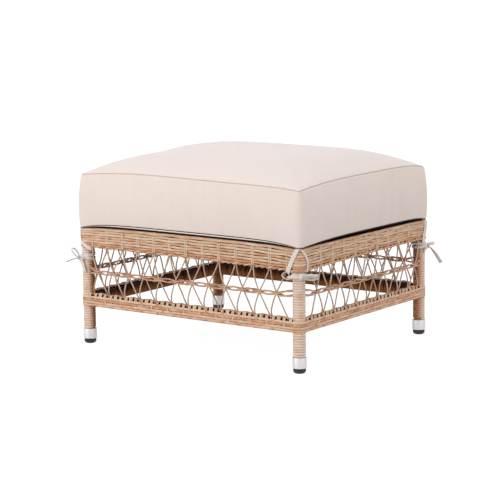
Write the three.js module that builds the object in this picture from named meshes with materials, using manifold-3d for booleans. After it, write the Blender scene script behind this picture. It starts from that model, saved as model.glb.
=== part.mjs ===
// Outdoor ottoman footstool: a welded tube frame woven over with flat wicker strand, open crossed canes
// with a twined waist on its four sides, and a box cushion tied to the legs. Millimetres, +Z up,
// X along the long side, -Y at the front, origin on the floor under the middle.
import * as THREE from "three";
import { mergeVertices } from "three/addons/utils/BufferGeometryUtils.js";
import Module from "manifold-3d";

// Fits shared by every piece
const fitGap = 0.3; // between pieces that touch
const cutOverrun = 3; // how far a cut runs past the wall that it opens
const weldDistance = 0.001; // vertices closer than this are one

// Frame
const legSpanX = 570; // between leg centres along the long side
const legSpanY = 480; // between leg centres along the short side
const frameHeight = 261.2; // floor to the top of the legs, the apron and the seat deck
const tubeWall = 1.5;
const legTubeRadius = 11;
const legSides = 16;
const railRadius = 8;
const railSides = 12;
const lowerRailHeight = 100.5; // floor to the lower rails' centre
const crossBarOffset = 105; // middle of the seat to each cross bar

// Feet
const footHeight = 11;
const footRadius = 13.6;
const footEdge = 5; // its bottom edge is domed over this
const footStemLength = 16;
const ferruleHeight = 23;
const ferruleRadius = 15;
const ferruleEdge = 1.2;

// Wound strand on the legs
const strandOuterRadius = 13.5;
const strandRows = 19;
const strandSlit = 0.5; // between one turn and the next
const frontHalfAngle = (66 * Math.PI) / 180; // level run each side of the leg's outer edge
const widestFacet = (50 * Math.PI) / 180; // of the strand, as an angle about the leg
const roundShares = [-1, -1 / 3, 1 / 3, 1]; // stations of a row that goes round
const foldShares = [-1, -0.6, 0, 0.6, 1]; // and of one that folds back
const backSteps = 5;

// Woven apron and the woven cover on the lower rails
const apronHeight = 43;
const apronFaceInset = 1.5; // groove floors stay this far behind the face
const apronCourses = 4;
const coverHalfSize = 13.4;
const coverCourses = 3;
const coverEdge = 1.6;
const courseGroove = 1.2;
const courseEdge = 1;

// Crossed canes
const baysLong = 12;
const baysShort = 10;
const endInset = 21; // leg centre to the first cane
const caneRadius = 1.5;
const caneTurnHalf = 2.2; // half the distance between a pair of canes where they turn
const caneRunShares = [0.12, 0.88]; // along the bay, at the heights below
const caneRiseShares = [0.25, 0.75];

// Twined waist
const twineRadius = 1.1;
const twineClearance = 0.4; // twine to cane where they cross
const twineSpread = 2.4; // how far a strand swings up or down between crossings
const twineSteps = 4;
const twineSides = 3;

// Seat deck
const deckThickness = 2.4;
const deckBand = 36; // width of the net's bands
const deckColumns = 6;
const deckRows = 5;

// Cushion
const cushionOverhang = 9; // beyond the leg centres
const cushionCornerRadius = 9;
const cushionDrawIn = 4; // mid-sides lie this far inside the corners
const cushionBulge = 5; // the upright band swells this far
const cushionLift = 2.6; // seat to the bottom seam at the corners
const cushionBottomArch = 11; // bottom seam at mid-side over the corners
const cushionBandHeight = 120; // bottom seam to top seam at the corners
const cushionArchLong = 6; // top seam at mid-side over the corners, long sides
const cushionArchShort = 11;
const cushionCrown = 48; // top seam's corners to the top of the crown
const archPower = 4; // the seams rise soon after the corners
const seamDepth = 0.7;
const seamHalf = 1.8;
const coverThickness = 1.3;
const coreGap = 0.4;
const cornerSteps = 3;
const sideSteps = 6;
const undersideShares = [0.5, 0.9];
const bandShares = [0.25, 0.5, 0.75];
const crownShares = [0.97, 0.88, 0.7, 0.42];
const crownPowers = [4, 3]; // along X and Y: the middle of the crown is nearly level
const crownPower = 0.75;
const crownInsetShare = 1.4; // extra inset on the sloping crown

// Zip in the cushion's back
const zipHalfLength = 190;
const zipHalfHeight = 2;
const zipBandShare = 0.25; // its height between the seams
const zipDepth = 1;
const zipProud = 0.4;
const zipSteps = 8;

// Ties
const tieHeight = 203; // floor to the middle of the knot
const tieWidth = 10;
const tieThickness = 1.2;
const tieBandSteps = 8;
const tieStrapTop = 5.5; // leg centre to the strap along the face, at the cushion
const tieStrapFoot = 21; // and at the knot's height
const knotRadius = 7;
const bowReach = 30; // knot to the far end of the loop
const bowHalf = 8;
const bowHalfAngle = (117 * Math.PI) / 180;
const bowSteps = 5;
const knotSides = 7;
const knotRings = 4;
const tailReach = 34;
const tailDrop = 9;

// Places that follow from the sizes above
const deckTop = frameHeight;
const topRailHeight = frameHeight - deckThickness - fitGap - railRadius;
const apronBottom = frameHeight - apronHeight;
const apronInner = railRadius + fitGap;
const apronOuter = strandOuterRadius;
const latticePlane = (apronInner + apronOuter) / 2; // rail centre to the canes
const caneSetOff = caneRadius + fitGap / 2; // each strand of canes to that plane
const latticeTop = apronBottom - fitGap - caneRadius;
const latticeBottom = lowerRailHeight + coverHalfSize + fitGap + caneRadius;
const waistHeight = (latticeTop + latticeBottom) / 2;
const seatHeight = deckTop + fitGap;
const cushionHalfX = legSpanX / 2 + cushionOverhang;
const cushionHalfY = legSpanY / 2 + cushionOverhang;
const bottomCornerHeight = seatHeight + cushionLift;
const topCornerHeight = bottomCornerHeight + cushionBandHeight;
const crownHeight = topCornerHeight + cushionCrown;

const wasm = await Module();
wasm.setup();

const { Vector2, Vector3 } = THREE;

// Materials
const material = (color, roughness, metalness) =>
  new THREE.MeshStandardMaterial({ color, roughness, metalness });
const tubeFinish = material(0x8d7a66, 0.5, 0.3);
const wickerFinish = material(0xd8b48f, 0.62, 0);
const caneFinish = material(0xcaa27a, 0.6, 0);
const ferruleFinish = material(0xd9d7d6, 0.35, 0.4);
const footFinish = material(0x2e2a2b, 0.6, 0);
const deckFinish = material(0xb8946c, 0.7, 0);
const clothFinish = material(0xe3d6cb, 0.92, 0);
const foamFinish = material(0xefe3c0, 0.95, 0);
const tapeFinish = material(0xd9cfc6, 0.9, 0);
const zipFinish = material(0xcfc6bc, 0.6, 0);

// Turns a geometry's faces round where they point inwards.
function faceOut(geometry) {
  const index = geometry.index.array;
  const position = geometry.attributes.position;
  const corners = [new Vector3(), new Vector3(), new Vector3()];
  let volume = 0;
  for (let i = 0; i < index.length; i += 3) {
    corners.forEach((corner, k) => corner.fromBufferAttribute(position, index[i + k]));
    volume += corners[0].dot(corners[1].cross(corners[2]));
  }
  if (volume < 0) index.reverse();
  return geometry;
}

// Joins two neighbouring rings of points by triangles. A ring of one point is a pole.
function bandIndex(lowStart, lowCount, highStart, highCount) {
  const index = [];
  const around = Math.max(lowCount, highCount);
  for (let i = 0; i < around; i++) {
    const next = (i + 1) % around;
    const low = lowStart + (lowCount === 1 ? 0 : i);
    const lowNext = lowStart + (lowCount === 1 ? 0 : next);
    const high = highStart + (highCount === 1 ? 0 : i);
    const highNext = highStart + (highCount === 1 ? 0 : next);
    if (lowCount > 1) index.push(low, lowNext, highNext);
    if (highCount > 1) index.push(low, highNext, high);
  }
  return index;
}

// A closed body skinned over rings of points. A looped one joins its last ring to its first.
function skin(rings, looped = false) {
  const index = [];
  const starts = [0];
  rings.forEach((ring) => starts.push(starts.at(-1) + ring.length));
  const bands = looped ? rings.length : rings.length - 1;
  for (let i = 0; i < bands; i++) {
    const next = (i + 1) % rings.length;
    index.push(...bandIndex(starts[i], rings[i].length, starts[next], rings[next].length));
  }
  if (!looped) {
    const top = starts[rings.length - 1];
    for (let i = 1; i < rings[0].length - 1; i++) index.push(0, i + 1, i);
    for (let i = 1; i < rings.at(-1).length - 1; i++) index.push(top, top + i, top + i + 1);
  }
  const geometry = new THREE.BufferGeometry().setFromPoints(rings.flat());
  geometry.setIndex(index);
  return faceOut(geometry);
}

// A turned body about the Z axis from (radius, height) pairs.
function turned(profile, sides) {
  const points = profile.map(([radius, height]) => new Vector2(radius, height));
  const geometry = new THREE.LatheGeometry(points, sides);
  return faceOut(geometry.rotateX(Math.PI / 2));
}

function toSolid(geometry) {
  const bare = new THREE.BufferGeometry();
  bare.setAttribute("position", geometry.attributes.position);
  bare.setIndex(geometry.index);
  const merged = mergeVertices(bare, weldDistance);
  const vertProperties = merged.attributes.position.array;
  const triVerts = new Uint32Array(merged.index.array);
  return new wasm.Manifold(new wasm.Mesh({ numProp: 3, vertProperties, triVerts }));
}

function toGeometry(solid) {
  const mesh = solid.getMesh();
  const geometry = new THREE.BufferGeometry();
  geometry.setAttribute("position", new THREE.BufferAttribute(mesh.vertProperties, 3));
  geometry.setIndex(new THREE.BufferAttribute(mesh.triVerts, 1));
  return geometry;
}

const joined = (geometries) =>
  toGeometry(geometries.map(toSolid).reduce((sum, solid) => sum.add(solid)));
const cutAway = (geometry, ...tools) =>
  toGeometry(tools.map(toSolid).reduce((left, tool) => left.subtract(tool), toSolid(geometry)));

// How far each station of a flat path carries its left edge, so that bends keep the path's width.
function mitres(path) {
  const leftOf = (from, to) => {
    const along = to.clone().sub(from).normalize();
    return new Vector2(-along.y, along.x);
  };
  return path.map((point, i) => {
    const before = i > 0 ? leftOf(path[i - 1], point) : leftOf(point, path[i + 1]);
    const after = i < path.length - 1 ? leftOf(point, path[i + 1]) : before;
    return before.clone().add(after).divideScalar(1 + before.dot(after));
  });
}

// Where the strand on a leg runs, as arc length round the leg and height. Angle 0 is the leg's outer
// edge. It goes level across the outer side and climbs a row round the back. Where a rail meets the
// leg it folds back on itself instead.
const strandInnerRadius = (legTubeRadius + fitGap) / Math.cos(widestFacet / 2);
const strandMiddleRadius = (strandInnerRadius + strandOuterRadius) / 2;
const strandBottom = footHeight + fitGap + ferruleHeight + fitGap;
const strandPitch = (frameHeight - strandBottom) / strandRows;
const backRun = 2 * (Math.PI - frontHalfAngle) * strandMiddleRadius;
const strandWidth = strandPitch * Math.cos(Math.atan(strandPitch / backRun)) - strandSlit;

function railBlocks(height) {
  const reach = railRadius + fitGap + strandWidth / 2;
  const blocks = (railHeight) =>
    height + strandPitch > railHeight - reach && height < railHeight + reach;
  return blocks(lowerRailHeight) || blocks(topRailHeight);
}

function strandPath() {
  const path = [];
  let direction = 1;
  let start = -frontHalfAngle;
  for (let row = 0; row < strandRows; row++) {
    const height = strandBottom + (row + 1 / 2) * strandPitch;
    const folds = railBlocks(height) || railBlocks(height - strandPitch);
    const middle = start + frontHalfAngle * direction;
    for (const share of folds ? foldShares : roundShares) {
      const angle = middle + share * frontHalfAngle * direction;
      path.push(new Vector2(angle * strandMiddleRadius, height));
    }
    start += 2 * frontHalfAngle * direction;
    if (row === strandRows - 1) break;
    if (railBlocks(height)) {
      direction = -direction;
      continue;
    }
    const round = 2 * (Math.PI - frontHalfAngle) * direction;
    for (let i = 1; i < backSteps; i++) {
      const angle = start + (round * i) / backSteps;
      path.push(new Vector2(angle * strandMiddleRadius, height + (strandPitch * i) / backSteps));
    }
    start += round;
  }
  return path;
}

function strandRings() {
  const path = strandPath();
  const edges = mitres(path);
  const onLeg = (point, radius) => {
    const angle = point.x / strandMiddleRadius;
    return new Vector3(radius * Math.cos(angle), radius * Math.sin(angle), point.y);
  };
  return path.map((point, i) => {
    const left = point.clone().addScaledVector(edges[i], strandWidth / 2);
    const right = point.clone().addScaledVector(edges[i], -strandWidth / 2);
    return [
      onLeg(left, strandInnerRadius),
      onLeg(left, strandOuterRadius),
      onLeg(right, strandOuterRadius),
      onLeg(right, strandInnerRadius),
    ];
  });
}

// The least distance between a strand's stations that don't follow each other.
function leastGap(rings) {
  let least = Infinity;
  rings.forEach((ring, i) => {
    rings.slice(i + 3).forEach((other) => {
      for (const a of ring) for (const b of other) least = Math.min(least, a.distanceTo(b));
    });
  });
  return least;
}

// Leg tube with a closed top, open below for the foot's stem
function legTube() {
  const bottom = footHeight + fitGap;
  const bore = legTubeRadius - tubeWall;
  return turned(
    [
      [0, frameHeight],
      [legTubeRadius, frameHeight],
      [legTubeRadius, bottom],
      [bore, bottom],
      [bore, frameHeight - tubeWall],
      [0, frameHeight - tubeWall],
    ],
    legSides,
  );
}

function foot() {
  const stem = legTubeRadius - tubeWall - fitGap;
  const dome = footEdge * (1 - Math.SQRT1_2);
  return turned(
    [
      [0, 0],
      [footRadius - footEdge, 0],
      [footRadius - dome, dome],
      [footRadius, footEdge],
      [footRadius, footHeight],
      [stem, footHeight],
      [stem, footHeight + footStemLength],
      [0, footHeight + footStemLength],
    ],
    legSides,
  );
}

function ferrule() {
  const bottom = footHeight + fitGap;
  const top = bottom + ferruleHeight;
  const bore = legTubeRadius + fitGap;
  return turned(
    [
      [bore, bottom],
      [ferruleRadius - ferruleEdge, bottom],
      [ferruleRadius, bottom + ferruleEdge],
      [ferruleRadius, top - ferruleEdge],
      [ferruleRadius - ferruleEdge, top],
      [bore, top],
      [bore, bottom],
    ],
    legSides,
  );
}

// A tube along X whose ends are shaped to the round tubes that it is welded to. across is "y" for
// upright tubes and "z" for level ones.
function copedTube(span, metRadius, across) {
  const ring = (radius, end) => {
    const points = [];
    for (let i = 0; i < railSides; i++) {
      const angle = (2 * Math.PI * i) / railSides;
      const y = radius * Math.cos(angle);
      const z = radius * Math.sin(angle);
      const offset = across === "y" ? y : z;
      const x = span / 2 - Math.sqrt((metRadius + fitGap) ** 2 - offset ** 2);
      points.push(new Vector3(end * x, y, z));
    }
    return points;
  };
  const bore = railRadius - tubeWall;
  return skin([ring(railRadius, -1), ring(railRadius, 1), ring(bore, 1), ring(bore, -1)], true);
}

// One upright edge of a woven section, pinched in between its courses, from low to high.
function courseOutline(face, low, high, courses, floor) {
  const points = [];
  const step = (high - low) / courses;
  for (let i = 0; i < courses; i++) {
    const start = low + i * step;
    if (i > 0) points.push(new Vector2(floor, start));
    points.push(new Vector2(face, start + courseEdge));
    points.push(new Vector2(face, start + step - courseEdge));
  }
  return points;
}

// A section in (outwards, up) carried along X, centred. Outwards becomes -Y.
function carried(shape, length) {
  const geometry = new THREE.ExtrudeGeometry(shape, { depth: length, bevelEnabled: false });
  geometry.translate(0, 0, -length / 2);
  const turn = new THREE.Matrix4().makeBasis(
    new Vector3(0, -1, 0),
    new Vector3(0, 0, 1),
    new Vector3(-1, 0, 0),
  );
  return geometry.applyMatrix4(turn);
}

function apron(span) {
  const outline = [
    new Vector2(apronInner, apronBottom),
    new Vector2(apronOuter - courseEdge, apronBottom),
    ...courseOutline(
      apronOuter,
      apronBottom,
      frameHeight,
      apronCourses,
      apronOuter - apronFaceInset,
    ),
    new Vector2(apronOuter - courseEdge, frameHeight),
    new Vector2(apronInner, frameHeight),
  ];
  const reach = Math.sqrt((strandOuterRadius + fitGap) ** 2 - apronInner ** 2);
  return carried(new THREE.Shape(outline), span - 2 * reach);
}

function railCover(span) {
  const half = coverHalfSize;
  const outline = [
    new Vector2(-half + coverEdge, -half),
    new Vector2(half - coverEdge, -half),
    ...courseOutline(half, -half, half, coverCourses, half - courseGroove),
    new Vector2(half - coverEdge, half),
    new Vector2(-half + coverEdge, half),
    new Vector2(-half, half - coverEdge),
    new Vector2(-half, -half + coverEdge),
  ];
  const shape = new THREE.Shape(outline);
  const bore = [];
  for (let i = 0; i < railSides; i++) {
    const angle = (-2 * Math.PI * i) / railSides;
    const radius = (railRadius + fitGap) / Math.cos(Math.PI / railSides);
    bore.push(new Vector2(radius * Math.cos(angle), radius * Math.sin(angle)));
  }
  shape.holes.push(new THREE.Path(bore));
  return carried(shape, span - 2 * (strandOuterRadius + fitGap));
}

// One unbroken strand of canes: down a bay, a turn under the border, up the next bay and a turn again.
// Its fellow runs opposite in phase, just behind it, and the two cross at the waist of each bay.
function caneStrand(span, bays, isInner) {
  const spacing = (span - 2 * endInset) / bays;
  const ends = isInner ? [latticeBottom, latticeTop] : [latticeTop, latticeBottom];
  const path = [];
  for (let i = 0; i <= bays; i++) {
    const x = -span / 2 + endInset + i * spacing;
    const height = ends[i % 2];
    if (i > 0) path.push(new Vector2(x - caneTurnHalf, height));
    if (i === bays) break;
    path.push(new Vector2(x + caneTurnHalf, height));
    const run = spacing - 2 * caneTurnHalf;
    const rise = ends[(i + 1) % 2] - height;
    caneRunShares.forEach((share, k) => {
      const place = x + caneTurnHalf + run * share;
      path.push(new Vector2(place, height + rise * caneRiseShares[k]));
    });
  }
  const edges = mitres(path);
  const depth = -latticePlane + (isInner ? caneSetOff : -caneSetOff);
  const rings = path.map((point, i) => {
    const out = edges[i].clone().multiplyScalar(caneRadius);
    return [
      new Vector3(point.x + out.x, depth, point.y + out.y),
      new Vector3(point.x, depth - caneRadius, point.y),
      new Vector3(point.x - out.x, depth, point.y - out.y),
      new Vector3(point.x, depth + caneRadius, point.y),
    ];
  });
  return skin(rings);
}

// One strand of the waist: before one crossing of the canes and behind the next.
function twineStrand(span, bays, side) {
  const spacing = (span - 2 * endInset) / bays;
  const swing = caneRadius + caneSetOff + twineClearance + twineRadius;
  const innerFace = latticePlane - twineRadius;
  const reach = Math.sqrt((strandOuterRadius + fitGap) ** 2 - innerFace ** 2);
  const end = span / 2 - reach;
  const stations = [{ x: -end, depth: 0, height: (side * twineRadius) / 2 }];
  for (let i = 0; i <= bays * twineSteps; i++) {
    const bay = i / twineSteps - 1 / 2;
    const x = -span / 2 + endInset + (bay + 1 / 2) * spacing;
    const depth = side * swing * Math.cos(Math.PI * bay);
    const height = side * twineSpread * Math.sin(Math.PI * bay);
    stations.push({ x, depth, height });
  }
  stations.push({ x: end, depth: 0, height: (side * twineRadius) / 2 });
  const rings = stations.map(({ x, depth, height }) => {
    const ring = [];
    for (let i = 0; i < twineSides; i++) {
      const angle = (2 * Math.PI * i) / twineSides;
      const y = depth + twineRadius * Math.cos(angle);
      ring.push(new Vector3(x, y, height + twineRadius * Math.sin(angle)));
    }
    return ring;
  });
  return skin(rings);
}

function waistTwine(span, bays) {
  const band = joined([twineStrand(span, bays, 1), twineStrand(span, bays, -1)]);
  return band.translate(0, -latticePlane, waistHeight);
}

// Net of flat bands fused where they cross. The outer bands stop short of the legs.
function seatDeck() {
  const halfX = legSpanX / 2 + railRadius;
  const halfY = legSpanY / 2 + railRadius;
  const notch = railRadius + strandOuterRadius + fitGap;
  const band = (width, depth, x, y) =>
    new THREE.BoxGeometry(width, depth, deckThickness).translate(x, y, deckTop - deckThickness / 2);
  const bands = [];
  for (let i = 0; i <= deckColumns; i++) {
    const x = (halfX - deckBand / 2) * ((2 * i) / deckColumns - 1);
    const isOuter = i % deckColumns === 0;
    bands.push(band(deckBand, 2 * (isOuter ? halfY - notch : halfY), x, 0));
  }
  for (let i = 0; i <= deckRows; i++) {
    const y = (halfY - deckBand / 2) * ((2 * i) / deckRows - 1);
    const isOuter = i % deckRows === 0;
    bands.push(band(2 * (isOuter ? halfX - notch : halfX), deckBand, 0, y));
  }
  return joined(bands);
}

// The cushion's plan outline: place, outward normal, and how far the seams have risen there.
function cushionStations() {
  const stations = [];
  for (let quarter = 0; quarter < 4; quarter++) {
    const signX = quarter === 0 || quarter === 3 ? 1 : -1;
    const signY = quarter < 2 ? 1 : -1;
    const centre = new Vector2(
      signX * (cushionHalfX - cushionCornerRadius),
      signY * (cushionHalfY - cushionCornerRadius),
    );
    for (let i = 0; i <= cornerSteps; i++) {
      const angle = ((quarter + i / cornerSteps) * Math.PI) / 2;
      const normal = new Vector2(Math.cos(angle), Math.sin(angle));
      const place = centre.clone().addScaledVector(normal, cushionCornerRadius);
      stations.push({ place, normal, rise: 0, arch: 0 });
    }
    const angle = ((quarter + 1) * Math.PI) / 2;
    const normal = new Vector2(Math.round(Math.cos(angle)), Math.round(Math.sin(angle)));
    const isLong = quarter % 2 === 0;
    const half = isLong ? cushionHalfY : cushionHalfX;
    const run = (isLong ? cushionHalfX : cushionHalfY) - cushionCornerRadius;
    const tangent = new Vector2(normal.y, -normal.x);
    for (let i = 1; i < sideSteps; i++) {
      const share = 1 - (2 * i) / sideSteps;
      const rise = 1 - share ** archPower;
      const place = normal.clone().multiplyScalar(half - cushionDrawIn * (1 - share ** 2));
      place.addScaledVector(tangent, share * run);
      stations.push({ place, normal, rise, arch: isLong ? cushionArchLong : cushionArchShort });
    }
  }
  return stations;
}

const bottomSeam = ({ rise }) => bottomCornerHeight + cushionBottomArch * rise;
const topSeam = ({ rise, arch }) => topCornerHeight + arch * rise;

// How far the crown stands over the top seam, on a ring that is a share of the outline's size.
function crownRise(station, share) {
  const alongX = Math.abs(share * station.place.x) / cushionHalfX;
  const alongY = Math.abs(share * station.place.y) / cushionHalfY;
  const fullness = (1 - alongX ** crownPowers[0]) * (1 - alongY ** crownPowers[1]);
  return (crownHeight - topSeam(station)) * fullness ** crownPower;
}

// The cushion's surface as rings from the middle of its underside to the top of its crown.
function cushionRings(inset, withSeams) {
  const stations = cushionStations();
  const ring = (share, offset, height) =>
    stations.map((station) => {
      const place = station.place.clone().multiplyScalar(share);
      place.addScaledVector(station.normal, offset - inset);
      return new Vector3(place.x, place.y, height(station));
    });
  const seam = (seamHeight, lowInset, highInset) => {
    if (!withSeams) return [ring(1, 0, (s) => seamHeight(s) + lowInset - highInset)];
    return [
      ring(1, 0, (s) => seamHeight(s) - seamHalf),
      ring(1, -seamDepth, seamHeight),
      ring(1, 0, (s) => seamHeight(s) + seamHalf),
    ];
  };
  const under = undersideShares.map((share) => ring(share, 0, () => seatHeight + inset));
  const band = bandShares.map((share) =>
    ring(1, cushionBulge * Math.sin(Math.PI * share), (s) =>
      THREE.MathUtils.lerp(bottomSeam(s), topSeam(s), share),
    ),
  );
  const crown = crownShares.map((share) =>
    ring(share, 0, (s) => topSeam(s) + crownRise(s, share) - crownInsetShare * inset),
  );
  return [
    [new Vector3(0, 0, seatHeight + inset)],
    ...under,
    ...seam(bottomSeam, inset, 0),
    ...band,
    ...seam(topSeam, 0, inset),
    ...crown,
    [new Vector3(0, 0, crownHeight - crownInsetShare * inset)],
  ];
}

// A strip that follows the cushion's back wall at the zip's height.
function zipStrip(halfLength, halfHeight, inwards, outwards) {
  const run = cushionHalfX - cushionCornerRadius;
  const rings = [];
  for (let i = 0; i <= zipSteps; i++) {
    const x = halfLength * ((2 * i) / zipSteps - 1);
    const station = { rise: 1 - (x / run) ** archPower, arch: cushionArchLong };
    const bulge = cushionBulge * Math.sin(Math.PI * zipBandShare);
    const wall = cushionHalfY - cushionDrawIn * (1 - (x / run) ** 2) + bulge;
    const height = THREE.MathUtils.lerp(bottomSeam(station), topSeam(station), zipBandShare);
    rings.push([
      new Vector3(x, wall - inwards, height - halfHeight),
      new Vector3(x, wall + outwards, height - halfHeight),
      new Vector3(x, wall + outwards, height + halfHeight),
      new Vector3(x, wall - inwards, height + halfHeight),
    ]);
  }
  return skin(rings);
}

function cushionCover() {
  const slot = zipStrip(
    zipHalfLength + fitGap,
    zipHalfHeight + fitGap,
    coverThickness + cutOverrun,
    cutOverrun,
  );
  const outside = skin(cushionRings(0, true));
  const inside = skin(cushionRings(coverThickness, false));
  return cutAway(outside, inside, slot);
}

const cushionCore = () => skin(cushionRings(coverThickness + coreGap, false));
const cushionZip = () => zipStrip(zipHalfLength, zipHalfHeight, zipDepth, zipProud);

// A flat tape through points, with its width along one direction at each point.
function tape(points, widths, looped = false) {
  const count = points.length;
  const rings = points.map((point, i) => {
    const before = points[looped ? (i + count - 1) % count : Math.max(i - 1, 0)];
    const after = points[looped ? (i + 1) % count : Math.min(i + 1, count - 1)];
    const along = after.clone().sub(before).normalize();
    const across = widths[i].clone().normalize();
    const face = along.clone().cross(across).normalize();
    const side = across.multiplyScalar(tieWidth / 2);
    const thick = face.multiplyScalar(tieThickness / 2);
    return [
      point.clone().add(side).add(thick),
      point.clone().sub(side).add(thick),
      point.clone().sub(side).sub(thick),
      point.clone().add(side).sub(thick),
    ];
  });
  return skin(rings, looped);
}

// A place beside a leg: along the face, out from the leg's centre and up. hand picks the face.
function besideLeg(hand, along, out, height) {
  const face = new Vector2(1, hand).normalize();
  const away = new Vector2(-1, hand).normalize();
  const place = face.multiplyScalar(out).addScaledVector(away, along);
  return new Vector3(place.x, place.y, height);
}

function tieStrap(hand) {
  const skinOut = strandOuterRadius + fitGap + tieThickness;
  const seamOut = cushionOverhang + fitGap + tieThickness / 2;
  const points = [
    besideLeg(hand, tieStrapTop, seamOut, bottomCornerHeight),
    besideLeg(hand, tieStrapTop, skinOut, frameHeight),
    besideLeg(hand, tieStrapFoot, skinOut, tieHeight + tieWidth),
    besideLeg(hand, tieStrapFoot - tieWidth / 2, skinOut, tieHeight),
    besideLeg(hand, 0, skinOut, tieHeight),
  ];
  const level = besideLeg(hand, 1, 0, 0);
  const up = new Vector3(0, 0, 1);
  const slant = level.clone().addScaledVector(up, 1);
  return tape(points, [level, level, level, slant, up]);
}

function tieBand() {
  const radius = (strandOuterRadius + fitGap + tieThickness / 2) / Math.cos(Math.PI / tieBandSteps);
  const points = [];
  for (let i = 0; i < tieBandSteps; i++) {
    const angle = (2 * Math.PI * i) / tieBandSteps;
    points.push(new Vector3(radius * Math.cos(angle), radius * Math.sin(angle), tieHeight));
  }
  return tape(points, points.map(() => new Vector3(0, 0, 1)), true);
}

const knotPlace = () =>
  new Vector3(strandOuterRadius + fitGap + knotRadius, 0, tieHeight);

function tieKnot() {
  const knot = new THREE.SphereGeometry(knotRadius, knotSides, knotRings);
  return faceOut(knot.translate(...knotPlace()));
}

// The bow's loop leaves the knot over one face of the ottoman.
function bowLoop() {
  const out = strandOuterRadius + fitGap + tieThickness + tieWidth / 2;
  const middle = besideLeg(-1, bowReach / 2, out, tieHeight);
  const reach = besideLeg(-1, bowReach / 2, 0, 0);
  const points = [besideLeg(-1, -knotRadius, out, tieHeight)];
  for (let i = 0; i <= bowSteps; i++) {
    const angle = bowHalfAngle * ((2 * i) / bowSteps - 1);
    const lift = new Vector3(0, 0, bowHalf * Math.sin(angle));
    points.push(middle.clone().addScaledVector(reach, Math.cos(angle)).add(lift));
  }
  const outward = besideLeg(-1, 0, 1, 0);
  return tape(points, points.map(() => outward), true);
}

// Its tail leaves over the other.
function bowTail() {
  const out = strandOuterRadius + fitGap + 2 * tieThickness;
  const points = [
    knotPlace(),
    besideLeg(1, tailReach / 2, out + tieThickness, tieHeight - tailDrop / 4),
    besideLeg(1, tailReach, out, tieHeight - tailDrop),
  ];
  return tape(points, points.map(() => new Vector3(0, 0, 1)));
}

const tie = () =>
  joined([tieBand(), tieStrap(1), tieStrap(-1), tieKnot(), bowLoop(), bowTail()]);

// The assembly
const ottoman = new THREE.Group();
const frame = new THREE.Group();
const cushion = new THREE.Group();
ottoman.add(frame, cushion);

function place(group, name, geometry, finish, x = 0, y = 0, z = 0, turn = 0) {
  const mesh = new THREE.Mesh(geometry, finish);
  mesh.name = name;
  mesh.position.set(x, y, z);
  mesh.rotation.z = turn;
  group.add(mesh);
}

const legs = [
  { name: "front_right", signX: 1, signY: -1 },
  { name: "back_right", signX: 1, signY: 1 },
  { name: "back_left", signX: -1, signY: 1 },
  { name: "front_left", signX: -1, signY: -1 },
];
const strand = strandRings();
console.log("least gap of a leg's strand to itself: " + leastGap(strand).toFixed(2) + " mm");
for (const { name, signX, signY } of legs) {
  const x = (signX * legSpanX) / 2;
  const y = (signY * legSpanY) / 2;
  const turn = Math.atan2(signY, signX);
  place(frame, "leg_tube_" + name, legTube(), tubeFinish, x, y);
  place(frame, "leg_winding_" + name, skin(strand), wickerFinish, x, y, 0, turn);
  place(frame, "ferrule_" + name, ferrule(), ferruleFinish, x, y);
  place(frame, "foot_" + name, foot(), footFinish, x, y);
  place(cushion, "tie_" + name, tie(), tapeFinish, x, y, 0, turn);
}

const sides = [
  { name: "front", span: legSpanX, depth: legSpanY, bays: baysLong, turn: 0 },
  { name: "right", span: legSpanY, depth: legSpanX, bays: baysShort, turn: Math.PI / 2 },
  { name: "back", span: legSpanX, depth: legSpanY, bays: baysLong, turn: Math.PI },
  { name: "left", span: legSpanY, depth: legSpanX, bays: baysShort, turn: -Math.PI / 2 },
];
for (const { name, span, depth, bays, turn } of sides) {
  const x = (depth / 2) * Math.sin(turn);
  const y = (-depth / 2) * Math.cos(turn);
  const rail = copedTube(span, legTubeRadius, "y");
  place(frame, "top_rail_" + name, rail, tubeFinish, x, y, topRailHeight, turn);
  place(frame, "lower_rail_" + name, rail, tubeFinish, x, y, lowerRailHeight, turn);
  place(frame, "apron_" + name, apron(span), wickerFinish, x, y, 0, turn);
  place(frame, "rail_cover_" + name, railCover(span), wickerFinish, x, y, lowerRailHeight, turn);
  place(frame, "canes_outer_" + name, caneStrand(span, bays, false), caneFinish, x, y, 0, turn);
  place(frame, "canes_inner_" + name, caneStrand(span, bays, true), caneFinish, x, y, 0, turn);
  place(frame, "waist_twine_" + name, waistTwine(span, bays), caneFinish, x, y, 0, turn);
}

for (const [name, side] of [
  ["left", -1],
  ["right", 1],
]) {
  const bar = copedTube(legSpanY, railRadius, "z");
  const x = side * crossBarOffset;
  place(frame, "cross_bar_" + name, bar, tubeFinish, x, 0, topRailHeight, Math.PI / 2);
}
place(frame, "seat_deck", seatDeck(), deckFinish);

place(cushion, "cushion_cover", cushionCover(), clothFinish);
place(cushion, "cushion_core", cushionCore(), foamFinish);
place(cushion, "cushion_zip", cushionZip(), zipFinish);

export default ottoman;
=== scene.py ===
# Looks of the outdoor ottoman footstool: its wicker, canes, cushion, ties and feet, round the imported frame.
import math

import bpy
import numpy as np
from mathutils import Matrix, Vector
from mathutils.bvhtree import BVHTree


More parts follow.
